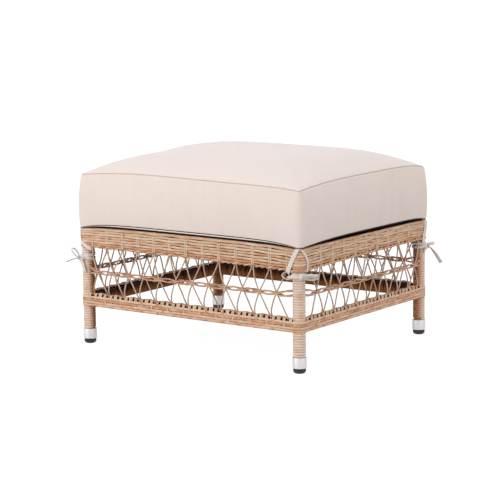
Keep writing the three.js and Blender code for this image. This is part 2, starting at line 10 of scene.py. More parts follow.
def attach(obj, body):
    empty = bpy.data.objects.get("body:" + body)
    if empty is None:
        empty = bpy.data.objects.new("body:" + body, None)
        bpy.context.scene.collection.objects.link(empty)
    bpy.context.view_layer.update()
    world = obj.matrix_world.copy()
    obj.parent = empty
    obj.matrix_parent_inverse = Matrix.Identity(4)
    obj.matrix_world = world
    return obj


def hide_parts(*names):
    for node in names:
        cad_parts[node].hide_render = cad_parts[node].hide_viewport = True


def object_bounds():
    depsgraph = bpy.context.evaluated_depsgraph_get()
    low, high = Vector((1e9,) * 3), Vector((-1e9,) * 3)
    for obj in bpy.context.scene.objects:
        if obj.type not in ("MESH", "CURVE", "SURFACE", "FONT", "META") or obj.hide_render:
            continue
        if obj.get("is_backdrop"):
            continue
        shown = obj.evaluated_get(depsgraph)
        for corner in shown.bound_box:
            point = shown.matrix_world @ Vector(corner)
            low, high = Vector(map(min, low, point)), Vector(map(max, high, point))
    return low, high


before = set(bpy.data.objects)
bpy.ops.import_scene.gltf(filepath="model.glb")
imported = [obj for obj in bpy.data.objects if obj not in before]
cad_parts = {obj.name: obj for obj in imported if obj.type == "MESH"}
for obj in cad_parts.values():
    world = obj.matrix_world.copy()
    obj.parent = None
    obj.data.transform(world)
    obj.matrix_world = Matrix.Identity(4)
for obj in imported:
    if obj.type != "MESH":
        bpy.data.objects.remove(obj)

cad_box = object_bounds()

# Sizes in millimetres, as in the part
MM = 0.001
LEG_X = 285  # middle of the ottoman to the legs' centres
LEG_Y = 240
FRAME_TOP = 261.2
WINDING_BOTTOM = 34.6
WINDING_RADIUS = 12.4  # middle of the wound strand
RAIL_RADIUS = 8
TOP_RAIL = 250.5
LOWER_RAIL = 100.5
APRON_BOTTOM = 218.2
COVER_HALF = 13.4
CANE_RADIUS = 1.5
CANE_PLANE = 10.9
CANE_TURN = 1.9
CANE_INSET = 21  # leg centre to the first cane
LATTICE_LOW = 115.7
LATTICE_HIGH = 216.4
WAIST = 165
DECK_TOP = 261.2
SEAT = 261.5
CUSHION_X = 294
CUSHION_Y = 249
SEAM_LOW = 264.1  # bottom seam at the corners
SEAM_HIGH = 381.6  # top seam at the corners
KNOT_HEIGHT = 205

CORNERS = {"front_right": (1, -1), "back_right": (1, 1), "back_left": (-1, 1), "front_left": (-1, -1)}
# name: (x, y, turn about Z)
LEGS = {leg: (x * LEG_X, y * LEG_Y, math.atan2(y, x)) for leg, (x, y) in CORNERS.items()}
# name: (length between leg centres, distance between this side and its fellow, bays, turn about Z)
SIDES = {
    "front": (2 * LEG_X, 2 * LEG_Y, 12, 0),
    "right": (2 * LEG_Y, 2 * LEG_X, 10, math.pi / 2),
    "back": (2 * LEG_X, 2 * LEG_Y, 12, math.pi),
    "left": (2 * LEG_Y, 2 * LEG_X, 10, -math.pi / 2),
}
chance = np.random.default_rng(11)
WHITE = "#FFFFFF"


# Materials

def colour(code):
    """An sRGB hex colour as the linear colour that a shader takes."""
    parts = [int(code[i : i + 2], 16) / 255 for i in (1, 3, 5)]
    return [c / 12.92 if c <= 0.04045 else ((c + 0.055) / 1.055) ** 2.4 for c in parts] + [1]


def add(tree, kind, settings):
    """Adds a node. A setting is a property, or a socket's value or link. A node links by its first output."""
    made = tree.nodes.new("ShaderNode" + kind)
    for key, value in settings.items():
        if isinstance(value, bpy.types.Node):
            value = value.outputs[0]
        if isinstance(key, str) and hasattr(made, key):
            setattr(made, key, value)
        elif isinstance(value, bpy.types.NodeSocket):
            tree.links.new(value, made.inputs[key])
        else:
            made.inputs[key].default_value = value
    return made


def material(name, settings):
    made = bpy.data.materials.new(name)
    made.use_nodes = True
    for key, value in settings.items():
        made.node_tree.nodes["Principled BSDF"].inputs[key].default_value = value
    return made, made.node_tree


def surfaced(made, tint, height, strength, relief, gloss=None):
    """The material with its tint, its bumps of a depth in millimetres, and what varies its gloss."""
    tree = made.node_tree
    bump = add(tree, "Bump", {"Height": height, "Strength": strength, "Distance": relief * MM})
    for socket, node in (("Base Color", tint), ("Roughness", gloss), ("Normal", bump)):
        if node is not None:
            tree.links.new(node.outputs[0], tree.nodes["Principled BSDF"].inputs[socket])
    return made


def ramp(tree, factor, tints):
    """Tints spread evenly over a factor from 0 to 1."""
    made = add(tree, "ValToRGB", {"Fac": factor})
    stops = made.color_ramp.elements
    while len(stops) < len(tints):
        stops.new(0.5)
    for i, tint in enumerate(tints):
        stops[i].position = i / (len(tints) - 1)
        stops[i].color = colour(tint)
    return made


def strand_finish(name, tints, line_and_shade_tint, relief, roughness, shine=0.5, drift=1.5):
    """Extruded resin strand. Its tints drift along each strand, and fine drawn lines run lengthways."""
    made, tree = material(name, {"Roughness": roughness, "IOR": 1.5, "Specular IOR Level": shine})
    lay = add(tree, "Attribute", {"attribute_name": "lay"}).outputs["Vector"]
    parts = add(tree, "SeparateXYZ", {"Vector": lay})
    # Tints change every 25 mm or so along a strand.
    slow = add(tree, "VectorMath", {"operation": "MULTIPLY", 0: lay, 1: (0.04, 0, 53)})
    wander = add(tree, "TexNoise", {"Vector": slow, "Scale": 1, "Detail": 2})
    shifted = add(tree, "Math", {"operation": "MULTIPLY_ADD", 0: wander, 1: drift, 2: -drift / 2})
    tone = add(tree, "Math", {"operation": "ADD", 0: parts.outputs["Z"], 1: shifted})
    tint = ramp(tree, tone, tints)
    # Drawn lines are about 0.5 mm apart across a strand 5 mm wide.
    fine = add(tree, "VectorMath", {"operation": "MULTIPLY", 0: lay, 1: (0.04, 4.5, 17)})
    lines = add(tree, "TexNoise", {"Vector": fine, "Scale": 1, "Detail": 3})
    veil = ramp(tree, lines, [line_and_shade_tint, WHITE, WHITE])
    drawn = add(tree, "MixRGB", {"blend_type": "MULTIPLY", "Fac": 0.32, "Color1": tint, "Color2": veil})
    # Painted shade, with some dust, darkens the strand's edges, more so on a dark strand.
    side = add(tree, "Math", {"operation": "ABSOLUTE", 0: parts.outputs["Y"]})
    depth = add(tree, "MapRange", {"Value": parts.outputs["Z"], "To Min": 0.62, "To Max": 0.1})
    edge_shade_mask = add(tree, "MapRange", {"Value": side, "From Min": 0.62, "To Max": depth})
    line_and_shade_tint = colour(line_and_shade_tint)
    edge_shaded = add(tree, "MixRGB", {"blend_type": "MULTIPLY", "Fac": edge_shade_mask, "Color1": drawn, "Color2": line_and_shade_tint})
    gloss = add(tree, "MapRange", {"Value": lines, "To Min": roughness - 0.12, "To Max": roughness + 0.14})
    return surfaced(made, edge_shaded, lines, 0.6, relief, gloss)


def cloth_finish(name, tints, thread, relief, sheen, facing):
    """Woven cloth. Rounded threads cross on every flat side, over faint slubs and a soft mottle.
    Where a mesh is marked, its colour is that of facing: painted shade, on the cushion's base panel."""
    soft = {"Roughness": 0.92, "Sheen Weight": sheen, "Sheen Roughness": 0.4, "IOR": 1.45}
    made, tree = material(name, soft)
    place = add(tree, "TexCoord", {}).outputs["Object"]
    threads = add(tree, "VectorMath", {"operation": "SCALE", 0: place, "Scale": 2 * math.pi / (thread * MM)})
    waves = add(tree, "VectorMath", {"operation": "SINE", 0: threads})
    weave = add(tree, "VectorMath", {"operation": "DOT_PRODUCT", 0: waves, 1: (0.3, 0.3, 0.3)})
    # Slubs are a few threads wide, and the yarn's mottle about 70 mm. Thick yarns run down the cloth.
    slubs = add(tree, "TexNoise", {"Vector": place, "Scale": 260, "Detail": 3})
    mottle = add(tree, "TexNoise", {"Vector": place, "Scale": 14, "Detail": 2})
    drawn_out = add(tree, "VectorMath", {"operation": "MULTIPLY", 0: place, 1: (90, 90, 5)})
    yarns = add(tree, "TexNoise", {"Vector": drawn_out, "Scale": 1, "Detail": 2})
    total = -0.1
    for noise, share in ((slubs, 0.3), (yarns, 0.45), (mottle, 0.45)):
        total = add(tree, "Math", {"operation": "MULTIPLY_ADD", 0: noise, 1: share, 2: total})
    base_painted_shade = add(tree, "Attribute", {"attribute_name": "base_painted_shade"}).outputs["Fac"]
    shown = add(tree, "MixRGB", {"Fac": base_painted_shade, "Color1": ramp(tree, total, tints), "Color2": colour(facing)})
    weave = weave.outputs["Value"]
    height = add(tree, "Math", {"operation": "MULTIPLY_ADD", 0: slubs, 1: 0.8, 2: weave})
    return surfaced(made, shown, height, 0.5, relief)


def cast_finish(name, tints, grain, relief, roughness, ior=1.5, metallic=0):
    """A plain hard surface: faint mottle in its colour, and a fine grain in its relief and gloss."""
    made, tree = material(name, {"Roughness": roughness, "IOR": ior, "Metallic": metallic})
    place = add(tree, "TexCoord", {}).outputs["Object"]
    noise = add(tree, "TexNoise", {"Vector": place, "Scale": 1 / (grain * MM), "Detail": 4})
    gloss = add(tree, "MapRange", {"Value": noise, "To Min": roughness - 0.08, "To Max": roughness + 0.1})
    return surfaced(made, ramp(tree, noise, tints), noise, 0.4, relief, gloss)


# Polyethylene wicker strand, extruded and half matt: the eye sees tan, honey and greenish straw in one weave.
WICKER_TINTS = ["#C0875F", "#D29F79", "#DCB293", "#E1C1A6", "#CAAE8C", "#D5B090"]
wicker = strand_finish("polyethylene_wicker_strand", WICKER_TINTS, "#A3744C", 0.25, 0.52)
# The strand wound on the legs: pale on the outer side, and painted brown to dark on the inner one, as shade.
WOUND_SHADE_TINTS = ["#522A14", "#A6663C", "#D0A47E", "#E5CFBB", "#E3CCB7"]
wound = strand_finish("wound_wicker_painted_shade", WOUND_SHADE_TINTS, "#A3744C", 0.25, 0.55, drift=0.7)
# The same strand, painted dark brown to near black as shade, on the sides that face inwards.
LINING_SHADE_TINTS = ["#240F06", "#5A2C14", "#8C5029", "#B27442"]
lining = strand_finish("lining_wicker_painted_shade", LINING_SHADE_TINTS, "#3A1C0C", 0.25, 0.8, 0.2)
# Round extruded strand, smoother than the flat one: orange waist, greyer canes and straw-coloured stakes.
CANE_TINTS = ["#CFA17E", "#B88A6E", "#BF9A82", "#D2B29C", "#BE9C83", "#DDC4A9"]
cane = strand_finish("round_polyethylene_cane", CANE_TINTS, "#8A6552", 0.12, 0.48)
# Polyethylene resin band, extruded: flat, ribbed along its length, dull, and painted black brown as shade.
webbing = strand_finish("flat_resin_band", ["#241811", "#2D1F17", "#38281E"], "#241811", 0.5, 0.85, 0.2)
# Solution-dyed acrylic canvas, plain woven: warm off-white and matt. Threads are drawn twice their 0.8 mm.
# Its base panel is painted black-brown, as shade, so the gap over the apron looks nearly black.
CANVAS_TINTS = ["#E0D0C7", "#E7D8CF", "#EBDDD5"]
canvas = cloth_finish("acrylic_canvas", CANVAS_TINTS, 1.6, 0.22, 0.3, "#241510")
# Herringbone cotton tape, a shade greyer than the canvas. Threads are drawn twice their 0.7 mm.
tape_cloth = cloth_finish("cotton_tape", ["#D9CCC3", "#E1D5CD", "#E8DDD5"], 1.4, 0.25, 0.1, "#E1D5CD")
# Bonded polyester sewing thread, drawn thin: taupe in the top seam; painted dark brown in the bottom, as
# shade.
THREAD_AND_SHADE_TINTS = ["#2B160F", "#2B160F", "#B8A79B", "#C6B7AC"]
thread = strand_finish("polyester_thread", THREAD_AND_SHADE_TINTS, "#6F5D53", 0.1, 0.6)
# Open-celled polyurethane foam, cut: pale straw, with pores of about 1 mm.
foam = cast_finish("polyurethane_foam", ["#E6D8AE", "#EFE3C0", "#F3EACB"], 1, 0.8, 0.9)
# Aluminium tube, powder coated: even brown with a fine orange-peel skin.
powder_coat = cast_finish("powder_coated_aluminium", ["#7C6A58", "#86735F", "#8D7A66"], 1.6, 0.08, 0.5)
# Aluminium sleeve, spun and satin anodised: pale grey with a soft gleam.
SATIN_TINTS = ["#D3D1D0", "#DCDAD9", "#E3E1E0"]
satin_aluminium = cast_finish("satin_anodised_aluminium", SATIN_TINTS, 0.9, 0.02, 0.42, metallic=0.55)
# Polypropylene glide, moulded: near black, with a fine dull texture.
black_glide = cast_finish("moulded_polypropylene", ["#1F0D11", "#271318", "#311D22"], 0.8, 0.05, 0.5)
# Nylon coil, moulded: cream and a little glossy.
nylon_coil = cast_finish("nylon_coil", ["#CBC1B5", "#D4CBC0", "#DCD4CA"], 0.5, 0.03, 0.35, 1.53)


# Meshes
ROUND_SIDES = 64  # sides of a turned body


def unit(vectors):
    return vectors / np.maximum(np.linalg.norm(vectors, axis=-1, keepdims=True), 1e-9)


def circle(count):
    """The cosines and sines of angles spread evenly round a turn."""
    angles = np.arange(count) * 2 * math.pi / count
    return np.cos(angles), np.sin(angles)


def flat_section(width, thickness, count=8):
    """A flat strand's section with soft edges and a slightly crowned face."""
    x, y = circle(count)
    return np.stack([width / 2 * np.sign(x) * abs(x) ** 0.42, thickness / 2 * np.sign(y) * abs(y) ** 0.65], 1)


def round_section(radius, count=8):
    return radius * np.stack(circle(count), 1)


def eased(points, each):
    """A smooth curve through the points, which may have any number of columns."""
    points = np.asarray(points, float)
    padded = np.concatenate([2 * points[:1] - points[1:2], points, 2 * points[-1:] - points[-2:-1]])
    t = np.arange(each)[:, None] / each
    runs = []
    for a, b, c, d in zip(padded, padded[1:], padded[2:], padded[3:]):
        square, cube = 2 * a - 5 * b + 4 * c - d, 3 * b - a - 3 * c + d
        runs.append(0.5 * (2 * b + (c - a) * t + square * t**2 + cube * t**3))
    return np.concatenate([*runs, points[-1:]])


class Strands:
    """Strands that share one mesh. Each point keeps its place along and across its strand, and its shade."""

    def __init__(self):
        self.points, self.faces, self.lay = [], [], []
        self.count = 0

    def add(self, path, section, facing=None, across=None, looped=False, shade=None):
        """A strand along path whose flat face looks along facing, or whose width runs along across."""
        path = np.asarray(path, float)
        n, k = len(path), len(section)
        ahead = np.roll(path, -1, 0) - np.roll(path, 1, 0) if looped else np.gradient(path, axis=0)
        ahead = unit(ahead)
        if across is None:
            across = np.cross(ahead, facing)
        across = unit(across - ahead * (across * ahead).sum(1, keepdims=True))
        out = np.cross(across, ahead)
        ring = path[:, None] + section[None, :, :1] * across[:, None] + section[None, :, 1:] * out[:, None]
        index = self.count + np.arange(n * k).reshape(n, k)
        ends = np.roll(index, -1, 0) if looped else index[1:]
        starts = index if looped else index[:-1]
        quads = np.stack([starts, ends, np.roll(ends, -1, 1), np.roll(starts, -1, 1)], -1).reshape(-1, 4)
        self.faces += quads.tolist()
        if not looped:
            self.faces += [index[0].tolist(), index[-1][::-1].tolist()]
        run = np.concatenate([[0], np.cumsum(np.linalg.norm(np.diff(path, axis=0), axis=1))])
        lay = np.zeros((n, k, 3))
        lay[..., 0] = run[:, None] + chance.uniform(0, 900)
        lay[..., 1] = section[:, 0] / abs(section[:, 0]).max()
        lay[..., 2] = chance.uniform() if shade is None else shade
        self.points.append(ring.reshape(-1, 3))
        self.lay.append(lay.reshape(-1, 3))
        self.count += n * k

    def piece(self, name, body, finish, slot, replaces=(), x=0, y=0, turn=0):
        """The strands as one piece, turned about Z and set at x, y."""
        along, out, z = np.concatenate(self.points).T
        c, s = math.cos(turn), math.sin(turn)
        points = np.stack([c * along - s * out + x, s * along + c * out + y, z], 1)
        made = piece(name, points, self.faces, body, finish, slot, replaces)
        lay = made.data.attributes.new("lay", "FLOAT_VECTOR", "POINT")
        lay.data.foreach_set("vector", np.concatenate(self.lay).astype(np.float32).ravel())


def piece(name, points, faces, body, finish, slot, replaces=()):
    """A smooth-shaded mesh from points in millimetres, on a body of the frame."""
    mesh = bpy.data.meshes.new(name)
    mesh.from_pydata((points * MM).tolist(), [], faces)
    mesh.shade_smooth()
    mesh.materials.append(finish)
    made = bpy.data.objects.new(name, mesh)
    bpy.context.scene.collection.objects.link(made)
    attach(made, body)
    if replaces:
        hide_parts(*replaces)
    return made


def revolved(profile):
    """A body turned about Z from (radius, height) pairs that run round its section, outside upwards."""
    radius, height = profile[:, :1], profile[:, 1:]
    x, y = circle(ROUND_SIDES)
    rings = np.stack([radius * x, radius * y, height + 0 * x], -1)
    index = np.arange(len(profile) * ROUND_SIDES).reshape(len(profile), ROUND_SIDES)
    above, beside = np.roll(index, -1, 0), np.roll(index, -1, 1)
    quads = np.stack([index, beside, np.roll(above, -1, 1), above], -1).reshape(-1, 4)
    return rings.reshape(-1, 3), quads.tolist()


def rounded(corners, radius, steps=5):
    """The corners of a section, each rounded by a short curve."""
    corners = np.asarray(corners, float)
    made = []
    for before, corner, after in zip(np.roll(corners, 1, 0), corners, np.roll(corners, -1, 0)):
        back, on = before - corner, after - corner
        start = corner + back / np.linalg.norm(back) * min(radius, np.linalg.norm(back) / 2.2)
        end = corner + on / np.linalg.norm(on) * min(radius, np.linalg.norm(on) / 2.2)
        for t in np.linspace(0, 1, steps):
            made.append((1 - t) ** 2 * start + 2 * t * (1 - t) * corner + t**2 * end)
    return np.array(made)


def smooth_step(t):
    """From 0 to 1 with a level start and end."""
    return t**2 * (3 - 2 * t)


# Legs: a wound strand from the ferrule to the top, and the foot below it
WINDING_ROWS = 41
WINDING_PITCH = (FRAME_TOP - WINDING_BOTTOM) / WINDING_ROWS
WINDING_THICKNESS = 2.1
OUTER_HALF = math.radians(85)  # a row runs level this far each side of the leg's outer edge
SHADE_SPREAD = math.radians(85)  # the angle over which the painted shade deepens
OUTER_SHADE = 0.72


def leg_winding(shade_from, shade_depth):
    """Rows that run level across the outer side and climb round the back, or fold back by the rails.
    Past an angle off the leg's outer edge, painted shade darkens the strand, by a given amount in all."""
    route = []
    direction, start = 1, -OUTER_HALF
    for row in range(WINDING_ROWS):
        z = WINDING_BOTTOM + (row + 0.5) * WINDING_PITCH
        end = start + direction * 2 * OUTER_HALF
        route += [(a, z) for a in np.linspace(start, end, 15)]
        start = end
        top = z + WINDING_PITCH / 2
        if min(abs(top - LOWER_RAIL), abs(top - TOP_RAIL)) < RAIL_RADIUS + WINDING_PITCH / 2:
            direction = -direction
        elif row < WINDING_ROWS - 1:
            end = start + direction * 2 * (math.pi - OUTER_HALF)
            climb = zip(np.linspace(start, end, 17), np.linspace(z, z + WINDING_PITCH, 17))
            route += list(climb)[1:-1]
            start = end
    angles, heights = np.array(route).T
    outward = np.stack([np.cos(angles), np.sin(angles), np.zeros_like(angles)], 1)
    path = outward * WINDING_RADIUS
    path[:, 2] = heights
    # Painted shade, deepening past the angle towards the inner side
    inner = smooth_step(np.clip((np.arccos(np.cos(angles)) - shade_from) / SHADE_SPREAD, 0, 1))
    section = flat_section(WINDING_PITCH, WINDING_THICKNESS)
    strands = Strands()
    strands.add(path, section, facing=outward, shade=(OUTER_SHADE - shade_depth * inner)[:, None])
    return strands


# Sections of the ferrule and the foot as (radius, height) pairs. The foot is a domed glide with a stem.
FERRULE_SECTION = rounded([(11.3, 11.3), (15, 11.3), (15, 34.2), (11.3, 34.2)], 1.2)
DOME_ANGLES = np.linspace(-math.pi / 2, 0, 9)
DOME = np.stack([7.2 + 6.4 * np.cos(DOME_ANGLES), 6.4 + 6.4 * np.sin(DOME_ANGLES)], 1)
STEM = rounded([(13.6, 11), (9.2, 11), (9.2, 27), (0.05, 27)], 0.8)
FOOT_SECTION = np.concatenate([[(0.05, 0)], DOME, STEM])

for leg, (x, y, turn) in LEGS.items():
    # Painted shade: on the back right leg it starts nearer the outer edge, and is less deep.
    shade_from, shade_depth = (50, 0.46) if leg == "back_right" else (72, 0.6)
    winding = leg_winding(math.radians(shade_from), shade_depth)
    winding.piece("winding_" + leg, "frame", wound, "wicker", ["leg_winding_" + leg], x, y, turn)
    for name, section, finish, slot in [
        ("sleeve", FERRULE_SECTION, satin_aluminium, "ferrule"),
        ("glide", FOOT_SECTION, black_glide, "foot"),
    ]:
        points, faces = revolved(section)
        piece(f"{name}_{leg}", points + (x, y, 0), faces, "frame", finish, slot, [f"{slot}_{leg}"])


# Sides. In a side's own frame x runs along it, -y is outwards, and depth is measured outwards from the rails.
OUTWARDS = (0, -1, 0)
ROUND_LEG = 14.2  # leg centre to a strand that bends round the leg
BEND_START = 26  # a strand leaves its own depth this far before the leg's centre
NET_END = 9  # leg centre to the end of the border's edge and of the waist
LINING_END = 14.5  # leg centre to the last strand of a lining


def swung(wave, sharpness=1.8):
    """A swing from -1 to 1 that dwells at both ends, as a strand does between the stakes that it passes."""
    return np.tanh(sharpness * wave) / math.tanh(sharpness)


def along_side(x, depth, z):
    x, depth, z = np.broadcast_arrays(x, depth, z)
    return np.stack([x, -depth, z], 1)


def bay_lines(span, bays):
    """The length of one bay, and where the first one starts."""
    return (span - 2 * CANE_INSET) / bays, -span / 2 + CANE_INSET


def round_legs(span, places, depth, z, radius=ROUND_LEG):
    """A path along a side that bends round the leg at each end. Also the direction that it faces."""
    places, depth, z = np.broadcast_arrays(places, depth, z)
    past = np.clip(abs(places) - span / 2, 0, None) / radius
    near = smooth_step(np.clip((abs(places) - span / 2 + BEND_START) / (BEND_START - 2), 0, 1))
    depth = depth * (1 - near) + radius * near
    x = np.sign(places) * (np.minimum(abs(places), span / 2) + depth * np.sin(past))
    facing = np.stack([np.sign(places) * np.sin(past), -np.cos(past), np.zeros_like(past)], 1)
    return np.stack([x, -depth * np.cos(past), z], 1), facing


def places_round(span, count):
    """Places along a side and on to the middle of the leg at each end."""
    straight = span / 2 - 4
    end = span / 2 + ROUND_LEG * math.pi / 4
    steps = np.linspace(-end, end, count)
    turn = np.linspace(straight, end, 12)
    return np.unique(np.concatenate([steps[abs(steps) < straight], turn, -turn]))


WICKER_PITCH = 5.2  # from one woven strand to the next
WICKER_FLAT = flat_section(5.3, 1.4)
APRON_ROWS = 7
TOP_ROW = FRAME_TOP - 2.7
ROW_STEP = 0.618  # neighbouring rows differ by this in shade, and each keeps its own round the corners
WEAVE_SWING = 1.15  # a strand lies this far before or behind the stakes' plane
BORDER_HEIGHT = APRON_BOTTOM + 3.7
BORDER_RISE = 1.4  # how far the border's twisted pair swings up and down, and in depth
BORDER_DEPTH = 2.1
BORDER_ROUND = round_section(2)
LINING_PITCH = 3.6
LINING_FLAT = flat_section(3.4, 1.1)
# Where a lining strand runs round the top rail, as (depth, height)
APRON_LINING = eased([
    (8.4, 219.5), (8.2, 232), (7.6, 240), (3, 241.3),
    (-3.5, 241.6), (-8, 245.5), (-9.2, 250.5), (-7.6, 256.5),
], 3)


def hang(x, span, sag):
    """How far the apron's lower edge hangs down at x. It is most at one end, which the sign of sag gives."""
    return abs(sag) * np.clip(0.5 + np.sign(sag) * x / span, 0, 1) ** 2.5


def apron_weave(span, bays, crest, sag):
    """Courses of two strands that pass over and under the stakes in turn, over a twisted bottom border."""
    spacing, first = bay_lines(span, bays)
    x = places_round(span, bays * 11)
    phase = math.pi * (x - first) / spacing
    rise = crest * (1 - np.minimum(1, abs(2 * x / span)) ** 4)
    strands = Strands()
    for row in range(APRON_ROWS):
        course = (row + 1) // 2
        z = TOP_ROW - row * WICKER_PITCH + rise * (1 - row / APRON_ROWS)
        z = z + 0.35 * np.sin(phase * 1.3 + row * 1.7) - hang(x, span, sag) * row / APRON_ROWS
        depth = CANE_PLANE + 0.3 + WEAVE_SWING * swung(np.cos(phase + math.pi * course))
        path, facing = round_legs(span, x, depth + 0.25 * np.sin(phase / 3 + row * 2.1), z)
        strands.add(path, WICKER_FLAT, facing=facing, shade=(0.35 + ROW_STEP * row) % 1)
    # The top edge is bound by one strand that lies over the rail.
    path, facing = round_legs(span, x, 9.6 + 0.4 * np.cos(phase), FRAME_TOP - 0.9 + rise, 10.8)
    strands.add(path, flat_section(6, 1.4), facing=facing * 0.5 + (0, 0, 1))
    x = places_round(span, bays * 24)
    for strand in (0, math.pi):
        angle = 3 * math.pi * (x - first) / spacing + strand
        z = BORDER_HEIGHT - hang(x, span, sag) + BORDER_RISE * np.sin(angle)
        path, facing = round_legs(span, x, CANE_PLANE + BORDER_DEPTH * np.cos(angle), z)
        path -= facing * 0.9 * (1 - np.cos(angle))[:, None]
        strands.add(path, BORDER_ROUND, facing=(0, -0.4, 1))
    return strands


def lining_places(span):
    """Even places along a side, each with the one, a little off it, that a strand laid by hand takes."""
    end = span / 2 - LINING_END
    for x in np.arange(-end, end + 0.1, 2 * end / round(2 * end / LINING_PITCH)):
        yield x, x + 0.3 * chance.uniform(-1, 1)


def apron_lining(span, sag):
    """Fine strands wrapped side by side down the apron's inner side and round the top rail."""
    depth, height = APRON_LINING.T
    strands = Strands()
    for x, x_strand in lining_places(span):
        z = height - hang(x, span, sag) * np.clip((238 - height) / 18, 0, 1)
        strands.add(along_side(x_strand, depth, z), LINING_FLAT, across=(1, 0, 0), shade=0.35)
    return strands


COVER_TOP = LOWER_RAIL + COVER_HALF
COVER_BOTTOM = LOWER_RAIL - COVER_HALF
COURSE_TONES = (0.36, 0.46, 0.12, 0.66)  # shades of the rail's four courses, from below
COURSE_PITCH = 5.85
COURSE_FLAT = flat_section(5.6, 1.2)
COURSE_DEPTH = 12.75
COURSE_DIP = 1.9  # how far a course dips where it passes under a loop
EDGE_FLAT = flat_section(4.7, 1.1)
# A loop of the border, from inside the weave over the top edge, as (depth, height, share of the edge's lift)
LOOP = eased([
    (11.2, 88.5, 0), (11.5, 98, 0), (11.8, 105, 0), (12.4, 109.3, 0.5), (11.6, 112.2, 1),
    (8.8, 114.2, 1), (4.6, 114.2, 0.8), (1.6, 113.4, 0.2), (0.6, 111, 0),
], 4)
LOOP_FLAT = flat_section(5.0, 1.0)
LOOP_LEAN = 1.9 * np.cos(np.linspace(0, math.pi, len(LOOP)))
LOOP_REST = 0.17  # how far each loop stands from the middle between two holes, as a share of their distance
LOOP_BACK = 2.2  # loops beside a cane's foot stand back from it by this, so that its hole is the widest


def edge_lift(share):
    """How far the border's top edge stands over its least height. It rises between the canes' feet."""
    return 1.3 + 2.4 * np.sin(math.pi * share) ** 2


def rail_weave(span, bays):
    """Four flat strands over two border loops and under the third, the bound top edge, and the underside."""
    spacing, first = bay_lines(span, bays)
    strands = Strands()
    x = places_round(span, bays * 18)
    share = (x - first) / spacing
    for row, tone in enumerate(COURSE_TONES):
        away = (share * 3 - row - 0.5) / 3
        away = (away - np.round(away)) * spacing
        depth = COURSE_DEPTH - COURSE_DIP * np.exp(-((away / 4.6) ** 2)) + 0.15 * np.sin(share * 2 + row)
        z = COVER_BOTTOM + 2.8 + row * COURSE_PITCH + 0.25 * np.sin(share * 1.9 + row * 2.3)
        path, facing = round_legs(span, x, depth, z)
        strands.add(path, COURSE_FLAT, facing=facing, shade=tone)
    end = span / 2 - NET_END
    third = spacing / 3
    depth, height, lifted = LOOP.T
    for place in np.arange(-2, bays * 3 + 2):
        for hand in (-1, 1):
            x = first + (place + 0.5) * third + hand * third * LOOP_REST
            if (place + (hand > 0)) % 3 == 0:
                x -= hand * LOOP_BACK
            if abs(x) < end:
                z = height + lifted * edge_lift((x - first) / spacing)
                strands.add(along_side(x - LOOP_LEAN, depth + 0.2 * hand, z), LOOP_FLAT, across=(1, 0, 0))
    x = np.linspace(-end, end, bays * 18)
    lift = edge_lift((x - first) / spacing)
    for depth, z, facing in [(7.4, COVER_TOP - 0.8, (0, -0.4, 1)), (3.0, COVER_TOP - 1.0, (0, 0, 1))]:
        strands.add(along_side(x, depth, z + lift), EDGE_FLAT, facing=facing)
    # The strands below the rail lie in its shade, and are painted in the darkest tint for it.
    for depth, facing in [(11.2, (0, -0.5, -1)), (6, (0, 0, -1)), (0.8, (0, 0, -1)), (-4.4, (0, 0, -1))]:
        strands.add(along_side(x, depth, COVER_BOTTOM + 0.2), EDGE_FLAT, facing=facing, shade=0)
    return strands


# Round the lower rail inside the weave, and up to the top of its inner side, as (depth, height over the rail)
WRAP = rounded([
    (9, -11.2), (9, 8.6), (0.6, 12.6), (-4, 11.4), (-10.5, 9.3), (-13.2, 3), (-10.6, -11.8),
], 3, 3)


def rail_wrap(span):
    """Fine strands wound round the lower rail. They show on its inner side and in the border's holes."""
    depth, height = WRAP.T
    # Painted shade: nearly black at the top and behind the border, where little light gets in, and paler
    # below.
    tone = 0.72 - 0.055 * height - 0.1 * depth.clip(0)
    strands = Strands()
    for _, x in lining_places(span):
        shade = (tone + 0.32 * chance.uniform(-1, 1)).clip(0, 1.2)[:, None]
        route = along_side(x, depth, LOWER_RAIL + height)
        strands.add(route, LINING_FLAT, across=(1, 0, 0), looped=True, shade=shade)
    # One strand along the top covers the ends of the border's loops. It is painted near black, as shade.
    end = span / 2 - LINING_END
    route = along_side(np.linspace(-end, end, 60), -0.9, COVER_TOP - 1.0)
    strands.add(route, flat_section(3.4, 1.2), facing=(0, 1, 0), shade=0)
    return strands


CANE_STEPS = np.linspace(0, 1, 25)  # shares of the way up the lattice
CANE_ROUND = round_section(CANE_RADIUS)
CANE_GAP = 0.15  # between the canes' plane and each layer, beyond the canes' radius
STAKE_TONE = 1.2
STAKE_HEIGHTS = np.linspace(221, FRAME_TOP - 2, 12)


